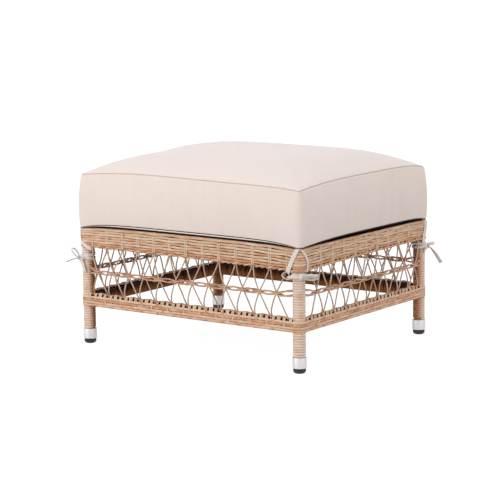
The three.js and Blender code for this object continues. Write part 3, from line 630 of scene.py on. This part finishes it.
def canes(span, bays, outer, bow, spread):
    """Round canes that rise from the border, cross at the waist and go on through the apron as its stakes."""
    spacing, first = bay_lines(span, bays)
    t = CANE_STEPS
    sway = 0.55 * smooth_step(t) + 0.45 * t
    reach = (CANE_RADIUS + CANE_GAP) * np.sin(math.pi * t) ** 0.7 * (1 if outer else -1)
    depth = CANE_PLANE + reach - 3.4 * np.clip(1 - t / 0.14, 0, 1) ** 2
    in_lattice = np.arange(2 + len(t) + len(STAKE_HEIGHTS)) < 2 + len(t)
    strands = Strands()
    for bay in range(bays):
        left = first + bay * spacing
        low, high = left + CANE_TURN, left + spacing - CANE_TURN
        if (bay % 2 == 1) != outer:
            low, high = high, low
        low += spread * (0.5 - (left + spacing / 2) / span)
        x = low + (high - low) * sway + (bow + 1.5 * chance.uniform(-1, 1)) * np.sin(math.pi * t)
        route = np.concatenate([
            along_side(low, np.array([5.6, 6.6]), np.array([104.0, 110.5])),
            along_side(x, depth, LATTICE_LOW + (LATTICE_HIGH - LATTICE_LOW) * t),
            along_side(high, CANE_PLANE + 0.2, STAKE_HEIGHTS),
        ])
        shade = np.where(in_lattice, chance.uniform(0.24, 0.8), STAKE_TONE)[:, None]
        strands.add(route, CANE_ROUND, facing=OUTWARDS, shade=shade)
    return strands


WAIST_FLAT = flat_section(3.5, 2.1)
WAIST_FADE = 34  # over this length before the legs the pairs part for good


def waist(span, bays, bow):
    """Two rows of paired strands. They part between the canes' crossings, and swap front and back there."""
    spacing, first = bay_lines(span, bays)
    end = span / 2 - NET_END
    x = np.linspace(-end, end, bays * 16)
    bay = (x - bow - first) / spacing - 0.5
    near_end = np.clip((abs(x) - (end - WAIST_FADE)) / WAIST_FADE, 0, 1) ** 1.3
    enter = np.clip((abs(x) - (end - 6)) / 6, 0, 1)
    part = np.sin(math.pi * bay) ** 2
    strands = Strands()
    for row in (1, -1):
        for fellow in (1, -1):
            depth = CANE_PLANE + fellow * 4.1 * swung(np.cos(math.pi * bay), 1.2) * (1 - near_end) - 5 * enter
            z = WAIST + 4.2 * near_end + row * (1.5 + 2.1 * part + 3.4 * near_end)
            z += fellow * 0.8 * np.sin(2 * math.pi * bay)
            strands.add(along_side(x, depth, z), WAIST_FLAT, facing=OUTWARDS, shade=chance.uniform(0, 0.12))
    return strands


# How each side was woven: how its canes are bowed along it, how far the first of them stands in at the foot,
# how far the apron's top edge rises between the legs, and how far its lower edge hangs down at one end
WEAVING = {
    "front": (-6, 0, 4.5, 5.5),
    "right": (3, 9, 0.6, -5.5),
    "back": (4, 3, 3, 0),
    "left": (-3, 4, 1, 0),
}

for side, (span, depth, bays, turn) in SIDES.items():
    place = (depth / 2 * math.sin(turn), -depth / 2 * math.cos(turn), turn)
    bow, spread, crest, sag = WEAVING[side]
    # Both linings take the strand that is painted dark, as shade.
    for name, strands, finish, slot, replaced in [
        ("apron_weave", apron_weave(span, bays, crest, sag), wicker, "wicker", "apron"),
        ("apron_lining", apron_lining(span, sag), lining, "wicker", None),
        ("rail_weave", rail_weave(span, bays), wicker, "wicker", "rail_cover"),
        ("rail_wrap", rail_wrap(span), lining, "wicker", None),
        ("outer_canes", canes(span, bays, True, bow, spread), cane, "cane", "canes_outer"),
        ("inner_canes", canes(span, bays, False, bow, spread), cane, "cane", "canes_inner"),
        ("waist", waist(span, bays, bow), cane, "cane", "waist_twine"),
    ]:
        nodes = [f"{replaced}_{side}"] if replaced else []
        strands.piece(f"{name}_{side}", "frame", finish, slot, nodes, *place)


# Seat deck: flat bands woven over and under each other
DECK_BAND = 36
DECK_COLUMNS = 7
DECK_ROWS = 6
DECK_WEAVE = 0.62  # how far a band swings over and under the others
CORNER_ROOM = 22  # the outer bands stop this far short, beside the legs


def deck():
    half_x, half_y = LEG_X + RAIL_RADIUS, LEG_Y + RAIL_RADIUS
    columns = np.linspace(-1, 1, DECK_COLUMNS) * (half_x - DECK_BAND / 2)
    rows = np.linspace(-1, 1, DECK_ROWS) * (half_y - DECK_BAND / 2)
    band = flat_section(DECK_BAND, 1.1, 16)
    strands = Strands()
    for parity, (places, half, crossings) in enumerate([(columns, half_y, rows), (rows, half_x, columns)]):
        for i, place in enumerate(places):
            reach = half - CORNER_ROOM if i in (0, len(places) - 1) else half
            run = np.linspace(-reach, reach, 90)
            step = crossings[1] - crossings[0]
            wave = np.cos(math.pi * (run - crossings[0]) / step + math.pi * (i + parity))
            height = DECK_TOP - 1.25 + DECK_WEAVE * swung(wave, 2.5)
            height = height - 3 * np.clip((abs(run) - reach + 3) / 3, 0, 1) ** 2
            across = np.full_like(run, place)
            ends = (run, across) if parity else (across, run)
            strands.add(np.stack([*ends, height], 1), band, facing=(0, 0, 1))
    return strands


deck().piece("deck_webbing", "frame", webbing, "deck", ["seat_deck"])

for name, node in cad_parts.items():
    if name.startswith(("leg_tube_", "top_rail_", "lower_rail_", "cross_bar_")):
        node.data.materials.clear()
        node.data.materials.append(powder_coat)


# Cushion: a box cushion whose top and bottom panels meet the upright band in seams
DRAW_IN = 4  # mid-sides lie this far inside the corners
BULGE = 7  # the band swells this far
FOOT_REACH = 5  # the bottom seam reaches this far beyond the top one
ARCH_LOW_LONG = 10.5  # the bottom seam rises this far between its corners
ARCH_LOW_SHORT = 6.3
ARCH_LOW_POWER = 6
ARCH_LOW_POWERS = (3, 11)  # on the right side, towards its front end and its back end
ARCH_LONG = 7.4  # and the top seam
ARCH_SHORT = 8.9
ARCH_LEFT = 7.5
ARCH_POWER = 4
ARCH_POWERS = (2.6, 6)  # on the right side, towards its front end and its back end
SEAM_TILT = 0.8  # the top seam lies this much lower at the front, and higher at the back
SEAM_WAVE = 1.6  # the long top seams sway by this
SEAM_WAVE_HALF = 264  # half the length of that sway
CROWN = 49.4
CROWN_POWERS = (4, 3, 0.66)
HOLLOW = (-245, -98, 72, 6.5)  # a worn place of the top, as x, y, reach and depth
GROOVE = 4.4  # how deep the seams draw the cloth in
SEAM_CORNER = 5.2  # corner radius at the seams
BAND_CORNER = 3.2  # and what the band adds to it at half height
EDGE_STEPS = np.array([0, 1.6, 4, 8, 14])  # places of the panel's mesh lines behind the seam
WALL_SHARES = [0.009, 0.02, 0.04, 0.075, *np.linspace(0.13, 0.87, 15), 0.925, 0.96, 0.98, 0.991]
# The base panel swells below the seam, as (inset, drop), and then turns under. The other two values are what
# that adds to the inset on the short sides, where it turns under at once, and on the long ones.
BASE_LIP = [
    (0.7, 0.8, 3.5, 0), (0.1, 1.9, 7, 0), (0.2, 3.1, 10, 0),
    (0.7, 3.8, 11, 0), (2.0, 4.2, 11.5, 1), (5, 4.2, 12, 13),
]
BASE_STEEPNESS = 110  # how sharply the base panel leaves the seat at its edge
SHORT_DROP = 0.35  # how much of the drop is left on the short sides
CORNER_SAG = 1.9  # the bottom seam hangs this far lower at the front left corner
PUCKER = 0.28  # height of the small puckers that run off from the seams


def panel_lines(half, steps):
    inner = np.linspace(-half + 24, half - 24, steps)
    return np.concatenate([-half + EDGE_STEPS, inner, half - EDGE_STEPS[::-1]])


LINES_X = panel_lines(CUSHION_X, 50)
LINES_Y = panel_lines(CUSHION_Y, 42)
PANEL_SHAPE = (len(LINES_X), len(LINES_Y))
PANEL_POINTS = len(LINES_X) * len(LINES_Y)


def side_line(along, half, across, radius, inset, tuck, powers=(ARCH_LOW_POWER, ARCH_LOW_POWER)):
    """The outline beside one side: places along it, their distance from the cushion's middle, their share of
    the side, and how far the bottom seam has risen there."""
    angle = np.clip(1 - (half - abs(along)) / radius, 0, 1) * math.pi / 4
    share = np.clip(abs(along) / (half - radius), 0, 1)
    turning = angle > 0
    corner = half - radius + (radius - inset) * np.sin(angle)
    x = np.where(turning, np.sign(along) * corner, along)
    rise = 1 - share ** np.where(along < 0, *powers)
    straight = across - DRAW_IN * (1 - share**2) - inset - tuck * rise
    y = np.where(turning, across - radius + (radius - inset) * np.cos(angle), straight)
    return x, y, share, rise


def outline(radius, inset, tuck=0, long_tuck=0):
    """The four sides' lines, each from its left to its right seen from outside, as rows of
    x, y, rise of the bottom seam, rise of the top seam, the base panel's drop."""
    x, y, share, rise = side_line(LINES_X, CUSHION_X, CUSHION_Y, radius, inset, long_tuck)
    arch = ARCH_LONG * (1 - share**ARCH_POWER)
    sway = SEAM_WAVE * np.sin(math.pi * x / SEAM_WAVE_HALF) * (1 - share**6)
    front = np.stack([x, -y, ARCH_LOW_LONG * rise, arch - sway, rise**2], 1)
    back = np.stack([-x, y, ARCH_LOW_LONG * rise, arch + sway, rise**2], 1)
    x, y, share, rise = side_line(LINES_Y, CUSHION_Y, CUSHION_X, radius, inset, tuck, ARCH_LOW_POWERS)
    arch = ARCH_SHORT * (1 - share ** np.where(x < 0, *ARCH_POWERS))
    right = np.stack([y, x, ARCH_LOW_SHORT * rise, arch, SHORT_DROP * rise], 1)
    x, y, share, rise = side_line(LINES_Y, CUSHION_Y, CUSHION_X, radius, inset, tuck)
    arch = ARCH_LEFT * (1 - share**ARCH_POWER)
    left = np.stack([-y, -x, ARCH_LOW_SHORT * rise, arch, SHORT_DROP * rise], 1)
    return front, right, back, left


def low_seam(line):
    away = np.hypot(line[:, 0] + CUSHION_X, line[:, 1] + CUSHION_Y)
    return SEAM_LOW + line[:, 2] - CORNER_SAG * np.exp(-away / 18)


def high_seam(line):
    return SEAM_HIGH + line[:, 3] + SEAM_TILT * line[:, 1] / CUSHION_Y


def ring(radius, inset, height, tuck=0, long_tuck=0):
    """The points of one ring round the cushion."""
    line = np.concatenate([side[:-1] for side in outline(radius, inset, tuck, long_tuck)])
    return np.column_stack([line[:, :2], height(line)])


def panel(lines, height):
    """A panel's mesh points, blended from its four edges."""
    front, right, back, left = [np.column_stack([line[:, :2], height(line)]) for line in lines]
    back, left = back[::-1], left[::-1]
    u = ((LINES_X / CUSHION_X + 1) / 2)[:, None, None]
    v = ((LINES_Y / CUSHION_Y + 1) / 2)[None, :, None]
    across = (1 - v) * front[:, None] + v * back[:, None]
    along = (1 - u) * left[None] + u * right[None]
    corners = (1 - u) * (1 - v) * front[0] + u * (1 - v) * front[-1]
    corners = corners + (1 - u) * v * back[0] + u * v * back[-1]
    return across + along - corners


def cells(index):
    return np.stack([index[:-1, :-1], index[1:, :-1], index[1:, 1:], index[:-1, 1:]], -1).reshape(-1, 4)


def rim(index):
    return np.concatenate([index[:-1, 0], index[-1, :-1], index[:0:-1, -1], index[0, :0:-1]])


def top_panel(u, v, fullness):
    """The crowned top panel, with its worn place."""
    top = panel(outline(SEAM_CORNER, 0.4), lambda line: high_seam(line) + 1.1)
    power_x, power_y, power = CROWN_POWERS
    full = ((1 - u**power_x) * (1 - v**power_y)) ** power
    top[..., 2] += (SEAM_HIGH + CROWN - top[..., 2]) * full * fullness
    x, y, reach, drop = HOLLOW
    near = np.exp(-((top[..., 0] - x) ** 2 + (top[..., 1] - y) ** 2) / reach**2)
    top[..., 2] -= drop * near * np.minimum(1, 3 * full)
    return top


def base_height(least, drop):
    """A function for the base panel's height along a line: by drop below the seam, and never under least."""
    return lambda line: np.maximum(low_seam(line) - drop * (0.15 + 0.85 * line[:, 4]), least)


def wall_rings(fullness, groove):
    """The rings of the upright band, which swells between its seams and puckers beside them."""
    run = None
    for share in WALL_SHARES:
        barrel = math.sin(math.pi * share)
        radius = SEAM_CORNER + BAND_CORNER * barrel
        height = lambda line: low_seam(line) * (1 - share) + high_seam(line) * share
        wall = ring(radius, -FOOT_REACH * (1 - share), height)
        normal = np.roll(wall[:, :2], -1, 0) - np.roll(wall[:, :2], 1, 0)
        normal = unit(np.stack([normal[:, 1], -normal[:, 0]], 1))
        if run is None:
            run = np.cumsum(np.linalg.norm(np.roll(wall, -1, 0) - wall, axis=1))
        pucker = np.sin(run / 5.1) + np.sin(run / 8.7 + 1)
        fade = math.exp(-share * 9) + math.exp(-(1 - share) * 9) - 0.02
        swell = BULGE * fullness * barrel**0.8 + PUCKER * pucker * fade * groove / GROOVE
        wall[:, :2] += normal * swell[:, None]
        yield wall


def cushion_mesh(fullness, groove):
    """The cushion's closed surface as points and faces, and which points its seams and seat hold."""
    u = abs(LINES_X / CUSHION_X)[:, None]
    v = abs(LINES_Y / CUSHION_Y)[None, :]
    top = top_panel(u, v, fullness)
    inset, drop, tuck, long_tuck = BASE_LIP[-1]
    lines = outline(SEAM_CORNER, inset + 1.6 - FOOT_REACH, tuck + 3, long_tuck + 3)
    under = panel(lines, base_height(SEAT, drop + 0.8))
    under[..., 2] = SEAT + (under[..., 2] - SEAT) * np.maximum(u, v) ** BASE_STEEPNESS
    rings = [
        ring(SEAM_CORNER, inset - FOOT_REACH, base_height(SEAT + 0.2, drop), tuck, long_tuck)
        for inset, drop, tuck, long_tuck in BASE_LIP[::-1]
    ]
    rings.append(ring(SEAM_CORNER, groove - FOOT_REACH, lambda line: low_seam(line) - 0.1))
    first_wall = len(rings)
    rings += wall_rings(fullness, groove)
    rings.append(ring(SEAM_CORNER, groove, high_seam))
    top_index = np.arange(PANEL_POINTS).reshape(PANEL_SHAPE)
    under_index = top_index + PANEL_POINTS
    faces = cells(top_index).tolist() + cells(under_index)[:, ::-1].tolist()
    size = len(rings[0])
    firsts = 2 * PANEL_POINTS + size * np.arange(len(rings))
    indices = [rim(under_index), *(first + np.arange(size) for first in firsts), rim(top_index)]
    for low, high in zip(indices, indices[1:]):
        faces += np.stack([low, np.roll(low, -1), np.roll(high, -1), high], -1).tolist()
    held = np.concatenate([*indices[: first_wall + 2], *indices[-3:], under_index.ravel()])
    return np.concatenate([top.reshape(-1, 3), under.reshape(-1, 3), *rings]), faces, np.unique(held)


def inflate(made, held, cap):
    """Fills the cover by cloth simulation, so that it swells between its seams, by less than cap."""
    mesh = made.data
    before = np.array([v.co for v in mesh.vertices])
    group = made.vertex_groups.new(name="held")
    group.add(held.tolist(), 1.0, "REPLACE")
    cloth = made.modifiers.new("fill", "CLOTH")
    for name, value in {
        "use_pressure": True,
        "uniform_pressure_force": 4,
        "vertex_group_mass": "held",
        "mass": 0.3,
        "tension_stiffness": 12,
        "compression_stiffness": 12,
        "shear_stiffness": 6,
        "bending_stiffness": 2,
    }.items():
        setattr(cloth.settings, name, value)
    cloth.settings.effector_weights.gravity = 0
    for step in range(1, 21):
        bpy.context.scene.frame_set(step)
    shown = made.evaluated_get(bpy.context.evaluated_depsgraph_get())
    after = np.array([v.co for v in shown.data.vertices])
    made.modifiers.remove(cloth)
    made.vertex_groups.remove(group)
    bpy.context.scene.frame_set(1)
    move = after - before
    length = np.maximum(np.linalg.norm(move, axis=1, keepdims=True), 1e-9)
    move *= np.tanh(length / (cap * MM)) * cap * MM / length
    mesh.vertices.foreach_set("co", (before + move).ravel())
    mesh.update()


points, faces, held = cushion_mesh(0.93, GROOVE)
cover = piece("cushion_fabric", points, faces, "cushion", canvas, "cloth", ["cushion_cover"])
# The base panel's points follow the top panel's. They are marked to be painted black-brown, as shade.
base_painted_shade = cover.data.attributes.new("base_painted_shade", "FLOAT", "POINT")
base_painted_shade.data.foreach_set("value", (np.arange(len(points)) // PANEL_POINTS == 1).astype(np.float32))
inflate(cover, held, 4)
smooth = cover.modifiers.new("rounding", "SUBSURF")
smooth.levels = smooth.render_levels = 1

# The foam is the same form, less full, and a little smaller all round
points, faces, held = cushion_mesh(0.82, 0.5)
middle = np.array([0, 0, (SEAM_LOW + SEAM_HIGH) / 2])
points = (points - middle) * (0.968, 0.962, 0.91) + middle
piece("cushion_foam", points, faces, "cushion", foam, "foam", ["cushion_core"])

# The thread of both seams lies in their grooves; the bottom one's is painted dark, as shade.
threads = Strands()
for inset, height, radius, shade in [(1.3 - FOOT_REACH, low_seam, 1.1, 0), (2.2, high_seam, 0.75, 1)]:
    route = ring(SEAM_CORNER, inset, height)
    threads.add(route, round_section(radius, 6), across=(0, 0, 1), looped=True, shade=shade)
threads.piece("seam_threads", "cushion", thread, "cloth")

# Zip low in the back band: two tapes and the coil that joins them
ZIP_HALF = 190
ZIP_SHARE = 0.25  # its height in the band
ZIP_POINTS = 61
COIL_TURNS = 152
COIL_STEPS = 6  # points to a turn


def on_back(x, z):
    """The point of the cover's back at x and z, in millimetres."""
    hit = back_wall.ray_cast(Vector((x * MM, 1, z * MM)), Vector((0, -1, 0)))[0]
    return np.array(hit) / MM


surface = cover.evaluated_get(bpy.context.evaluated_depsgraph_get()).to_mesh()
corners = [v.co.copy() for v in surface.vertices]
back_wall = BVHTree.FromPolygons(corners, [list(f.vertices) for f in surface.polygons])
zip_height = SEAM_LOW + ARCH_LOW_LONG + (SEAM_HIGH - SEAM_LOW) * ZIP_SHARE
zip_line = np.array([on_back(x, zip_height) for x in np.linspace(-ZIP_HALF, ZIP_HALF, ZIP_POINTS)])
tapes = Strands()
for rise in (-3.4, 3.4):
    tapes.add(zip_line + (0, 0.25, rise), flat_section(5.6, 0.9), facing=(0, 1, 0), shade=0.5)
tapes.piece("zip_tapes", "cushion", tape_cloth, "zip", ["cushion_zip"])
fine = np.linspace(0, ZIP_POINTS - 1, COIL_TURNS * COIL_STEPS)
coil_line = np.stack([np.interp(fine, np.arange(ZIP_POINTS), zip_line[:, i]) for i in range(3)], 1)
turns = np.arange(len(fine)) * 2 * math.pi / COIL_STEPS
coil_line += np.stack([0 * turns, 0.45 + 0.6 * np.cos(turns), 1.5 * np.sin(turns)], 1)
coil = Strands()
coil.add(coil_line, round_section(0.4, 5), across=(1, 0, 0), shade=0.5)
coil.piece("zip_coil", "cushion", nylon_coil, "zip")

# Ties: tapes from the cushion's corners, down over both faces, round the leg and into a bow
UP = np.array([0, 0, 1])
SKIN = 15.5  # leg centre to a tape that lies on the weave


def beside(hand, along, out, z):
    """A place by a leg: along the face on that hand, out from the leg's centre, and up."""
    face = np.array([1, hand]) / math.sqrt(2)
    away = np.array([-1, hand]) / math.sqrt(2)
    return np.array([*(face * out + away * along), z])


class Tie(Strands):
    """The tapes of one tie, in its leg's frame: x points outwards. Loops and tails start at the knot."""

    def __init__(self, height, width, size):
        super().__init__()
        self.start = np.array([SKIN + 4, 0, height])
        self.ring(height, 1.2, width)
        self.knot(height, size)

    def tape(self, rows, width=10):
        """A tape through rows of a place and the way that its width runs there."""
        rows = eased(rows, 6)
        self.add(rows[:, :3], flat_section(width, 1.1), across=rows[:, 3:], shade=0.5)

    def level_tape(self, hand, places, width):
        """A tape that lies level on the face on that hand, through places as beside takes them."""
        self.tape([(*beside(hand, *place), *beside(hand, 1, 0, 0)) for place in places], width)

    def strap(self, hand, top, foot, foot_height=219):
        """A tape from under the cushion's corner, down the face, and through the canes to the inner side."""
        level = beside(hand, 1, 0, 0)
        self.tape([
            (*beside(hand, top, 8, SEAM_LOW - 0.5), *level),
            (*beside(hand, top, SKIN, FRAME_TOP - 2), *level),
            (*beside(hand, (top + foot) / 2, SKIN + 0.6, 238), *(level + 0.25 * UP)),
            (*beside(hand, foot, SKIN, foot_height), *(level + 0.5 * UP)),
            (*beside(hand, foot - 2, SKIN - 7, foot_height - 8), *(level + 1.2 * UP)),
            (*beside(hand, foot - 8, 2, KNOT_HEIGHT + 1), *(UP + 0.3 * level)),
            (*beside(hand, 12, -5, KNOT_HEIGHT), *UP),
        ])

    def swept_strap(self):
        """The left leg's front tape, which comes from the other face and sweeps round to the inner side."""
        rows = []
        for angle, height, tilt in [(-36, SEAM_LOW - 1, 0), (-28, 255, 0.1), (-14, 243, 0.3), (12, 233, 0.8)]:
            a = math.radians(angle)
            place = (SKIN * math.cos(a), SKIN * math.sin(a), height)
            rows.append((*place, *(np.array([-math.sin(a), math.cos(a), 0]) + tilt * UP)))
        level = beside(1, 1, 0, 0)
        for *place, tilt in [
            (0, SKIN, 226.5, 1.3), (11, SKIN, 220, 1.6), (19, SKIN - 3, 216, 2),
            (18, 2, 212, 4), (12, -8, 206, 9),
        ]:
            rows.append((*beside(1, *place), *(level + tilt * UP)))
        self.tape(rows, 8.5)

    def ring(self, height, tilt, width):
        """The tape once round the leg."""
        x, y = circle(28)
        path = np.stack([SKIN * x, SKIN * y, height + tilt * x], 1)
        self.add(path, flat_section(width, 1.1), across=UP, looped=True, shade=0.5)

    def knot(self, height, size):
        """The bow's knot: a tape wrapped round the crossing of the others."""
        x, y = circle(16)
        path = np.stack([SKIN + 3.6 + 4.2 * x, 0.8 * y, height + size * y], 1)
        self.add(path, flat_section(1.3 * size, 2.2), across=(0, 1, 0), looped=True, shade=0.5)

    def loop(self, direction, reach, half, tilt, width=8.5, lift=0):
        """One of the bow's loops: out from the knot along direction, round, and back."""
        direction = np.asarray(direction, float) / np.linalg.norm(direction)
        side = unit(np.cross(direction, UP))
        rise = np.cross(side, direction)
        spread = math.cos(tilt) * rise + math.sin(tilt) * side
        angles = np.linspace(0, 2 * math.pi, 22)
        reach_out = reach * (1 - np.cos(angles)) / 2
        bend = half * np.sin(angles) * np.sin(angles / 2) ** 0.6
        path = self.start + (0, 0, lift) + reach_out[:, None] * direction + bend[:, None] * spread
        self.add(path, flat_section(width, 1.0), across=unit(np.cross(direction, spread)), shade=0.5)

    def tail(self, points, across, width=9):
        self.add(eased([self.start, *points], 6), flat_section(width, 1.0), across=across, shade=0.5)


def tie(leg):
    """Each leg's bow, as it was tied: which way its loops and tails lie."""
    low_knots = {"front_left": (194, 7, 4.7), "back_right": (202, 6, 4.7)}
    height, width, size = low_knots.get(leg, (KNOT_HEIGHT, 10, 6.2))
    made = Tie(height, width, size)
    start = made.start
    if leg == "front_right":
        made.strap(-1, -5, 17, 214)
        places = [(-6, 6, 263), (-6, 14, 258), (5, SKIN + 0.6, 243), (10, SKIN, 229), (9, SKIN - 0.5, 212)]
        made.level_tape(1, places, 7)
        made.loop(beside(-1, 38, 2, 1), 44, 9.5, 0.2)
        made.loop(beside(1, 30, 16, -3), 40, 7, 0.3)
        made.tail([beside(1, 16, SKIN + 3, height - 2), beside(1, 40, SKIN + 6, height - 5)], UP)
        made.tail([beside(-1, 12, SKIN, height - 2), beside(-1, 26, 8, height - 8)], UP, 7)
    elif leg == "front_left":
        made.ring(height + 6.5, -2.6, width)
        made.swept_strap()
        made.strap(-1, 8, 18)
        made.loop((1, -0.1, 1.35), 27, 6.5, 0.8, 5.5)
        made.loop(beside(1, 30, 10, 0), 18, 5, 0.3, 6)
        made.tail([start + (12, -1, -2), start + (30, -4, -9)], (0.3, 0.8, 0.6), 5)
        points = [beside(1, -2, SKIN + 2.5, height - 12), beside(1, 3, SKIN + 1, height - 31)]
        made.tail(points, beside(1, 1, 0, 0), 8)
    elif leg == "back_right":
        made.ring(height + 7.4, -0.6, width)
        places = [
            (-5, 8, SEAM_LOW - 0.5), (-4, SKIN - 0.5, 258), (0, SKIN + 0.6, 240), (5, SKIN + 0.3, 226),
            (5, SKIN - 0.5, 210),
        ]
        made.level_tape(-1, places, 12)
        made.strap(1, 6, 18)
        made.loop((1, 0, 0.12), 16, 3.2, 1.35, 7, 4)
        made.loop(beside(-1, 30, 8, -2), 16, 4, 0.2, 5)
        rows = [
            (0, 0, 0, 0.1, -0.3, 0.1), (8, 0, -5, 0.2, -0.9, 0.2), (20, 1, -20, 0.6, -0.6, 0.5),
            (33, 3, -40, 0.75, -0.3, 0.65),
        ]
        made.tape([(*(start + row[:3]), *row[3:]) for row in rows], 8)
        points = [beside(-1, 2, SKIN + 2.5, height - 5), beside(-1, 3, SKIN + 1, height - 12)]
        made.tail(points, beside(-1, 1, 0, 0), 6)
    else:
        made.strap(1, 6, 20)
        made.strap(-1, 5, 17)
        made.loop(beside(1, 30, 10, 2), 32, 8, 0.2)
        made.loop(beside(-1, 30, 12, -1), 30, 8, 0.25)
        made.tail([beside(1, 12, SKIN + 4, height - 8), beside(1, 26, SKIN + 5, height - 24)], UP)
        points = [beside(-1, 8, SKIN + 3, height - 10), beside(-1, 16, SKIN + 3, height - 32)]
        made.tail(points, beside(-1, 1, 0, 0))
    return made


for leg, place in LEGS.items():
    tie(leg).piece("tie_tape_" + leg, "cushion", tape_cloth, "tape", ["tie_" + leg], *place)


# Floor, lights and camera

def studio_tree(owner):
    """The owner's emptied tree, and a node that is 1 where the camera, a mirror or glass sees the surface,
    and 0 where it lights the object."""
    owner.use_nodes = True
    tree = owner.node_tree
    tree.nodes.clear()
    path = add(tree, "LightPath", {}).outputs
    seen = add(tree, "Math", {"operation": "MAXIMUM", 0: path["Is Camera Ray"], 1: path["Is Glossy Ray"]})
    return tree, add(tree, "Math", {"operation": "MAXIMUM", 0: seen, 1: path["Is Transmission Ray"]})


bpy.ops.mesh.primitive_plane_add(size=120)
floor = bpy.context.object
floor.name = "floor"
paper = bpy.data.materials.new("studio_paper")
tree, seen = studio_tree(paper)
plain = add(tree, "BsdfDiffuse", {"Color": colour("#B4B4B4")})
# Seen straight, the paper is white, and only the object's shadow takes it down.
faint = add(tree, "BsdfDiffuse", {"Color": colour("#6E6E6E")})
glow = add(tree, "Emission", {"Color": colour(WHITE), "Strength": 0.95})
shown = add(tree, "AddShader", {0: faint, 1: glow})
add(tree, "OutputMaterial", {"Surface": add(tree, "MixShader", {"Fac": seen, 1: plain, 2: shown})})
floor.data.materials.append(paper)
floor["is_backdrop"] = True

world = bpy.data.worlds.new("studio")
bpy.context.scene.world = world
tree, seen = studio_tree(world)
soft = add(tree, "Background", {"Color": colour(WHITE), "Strength": 0.88})
white = add(tree, "Background", {"Color": colour(WHITE), "Strength": 1})
add(tree, "OutputWorld", {"Surface": add(tree, "MixShader", {"Fac": seen, 1: soft, 2: white})})

for name, place, aim_height, size, power, tint in [
    ("key_light", (-1.1, -3.1, 0.6), 0.2, 2.0, 40.5, WHITE),
    ("top_light", (-0.3, 0.9, 3.0), 0.3, 2.2, 12, "#A8D0FF"),
    ("right_light", (3.3, -0.6, 1.0), 0.25, 1.8, 14.2, WHITE),
]:
    data = bpy.data.lights.new(name, "AREA")
    data.shape = "DISK"
    data.size = size
    data.energy = power
    data.color = colour(tint)[:3]
    lamp = bpy.data.objects.new(name, data)
    lamp.location = place
    lamp.rotation_euler = (Vector((0, 0, aim_height)) - Vector(place)).to_track_quat("-Z", "Y").to_euler()
    bpy.context.scene.collection.objects.link(lamp)

# The camera looks at the near corner from the right, a little above the seat.
CAMERA_AZIMUTH = math.radians(36.01)
CAMERA_ELEVATION = math.radians(9.10)
CAMERA_ROLL = math.radians(-0.68)
CAMERA_DISTANCE = 4.2352
CAMERA_AIM = Vector((-0.01298, 0, 0.20073))
camera_data = bpy.data.cameras.new("camera")
camera_data.sensor_width = 36
camera_data.lens = 135.45
camera = bpy.data.objects.new("camera", camera_data)
bpy.context.scene.collection.objects.link(camera)
turn = Matrix.Rotation(CAMERA_AZIMUTH, 4, "Z") @ Matrix.Rotation(math.pi / 2 - CAMERA_ELEVATION, 4, "X")
turn = turn @ Matrix.Rotation(CAMERA_ROLL, 4, "Z")
camera.matrix_world = Matrix.Translation(CAMERA_AIM) @ turn @ Matrix.Translation((0, 0, CAMERA_DISTANCE))
bpy.context.scene.camera = camera
bpy.context.scene.view_settings.view_transform = "Standard"

[[list(corner) for corner in box] for box in (cad_box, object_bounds())]
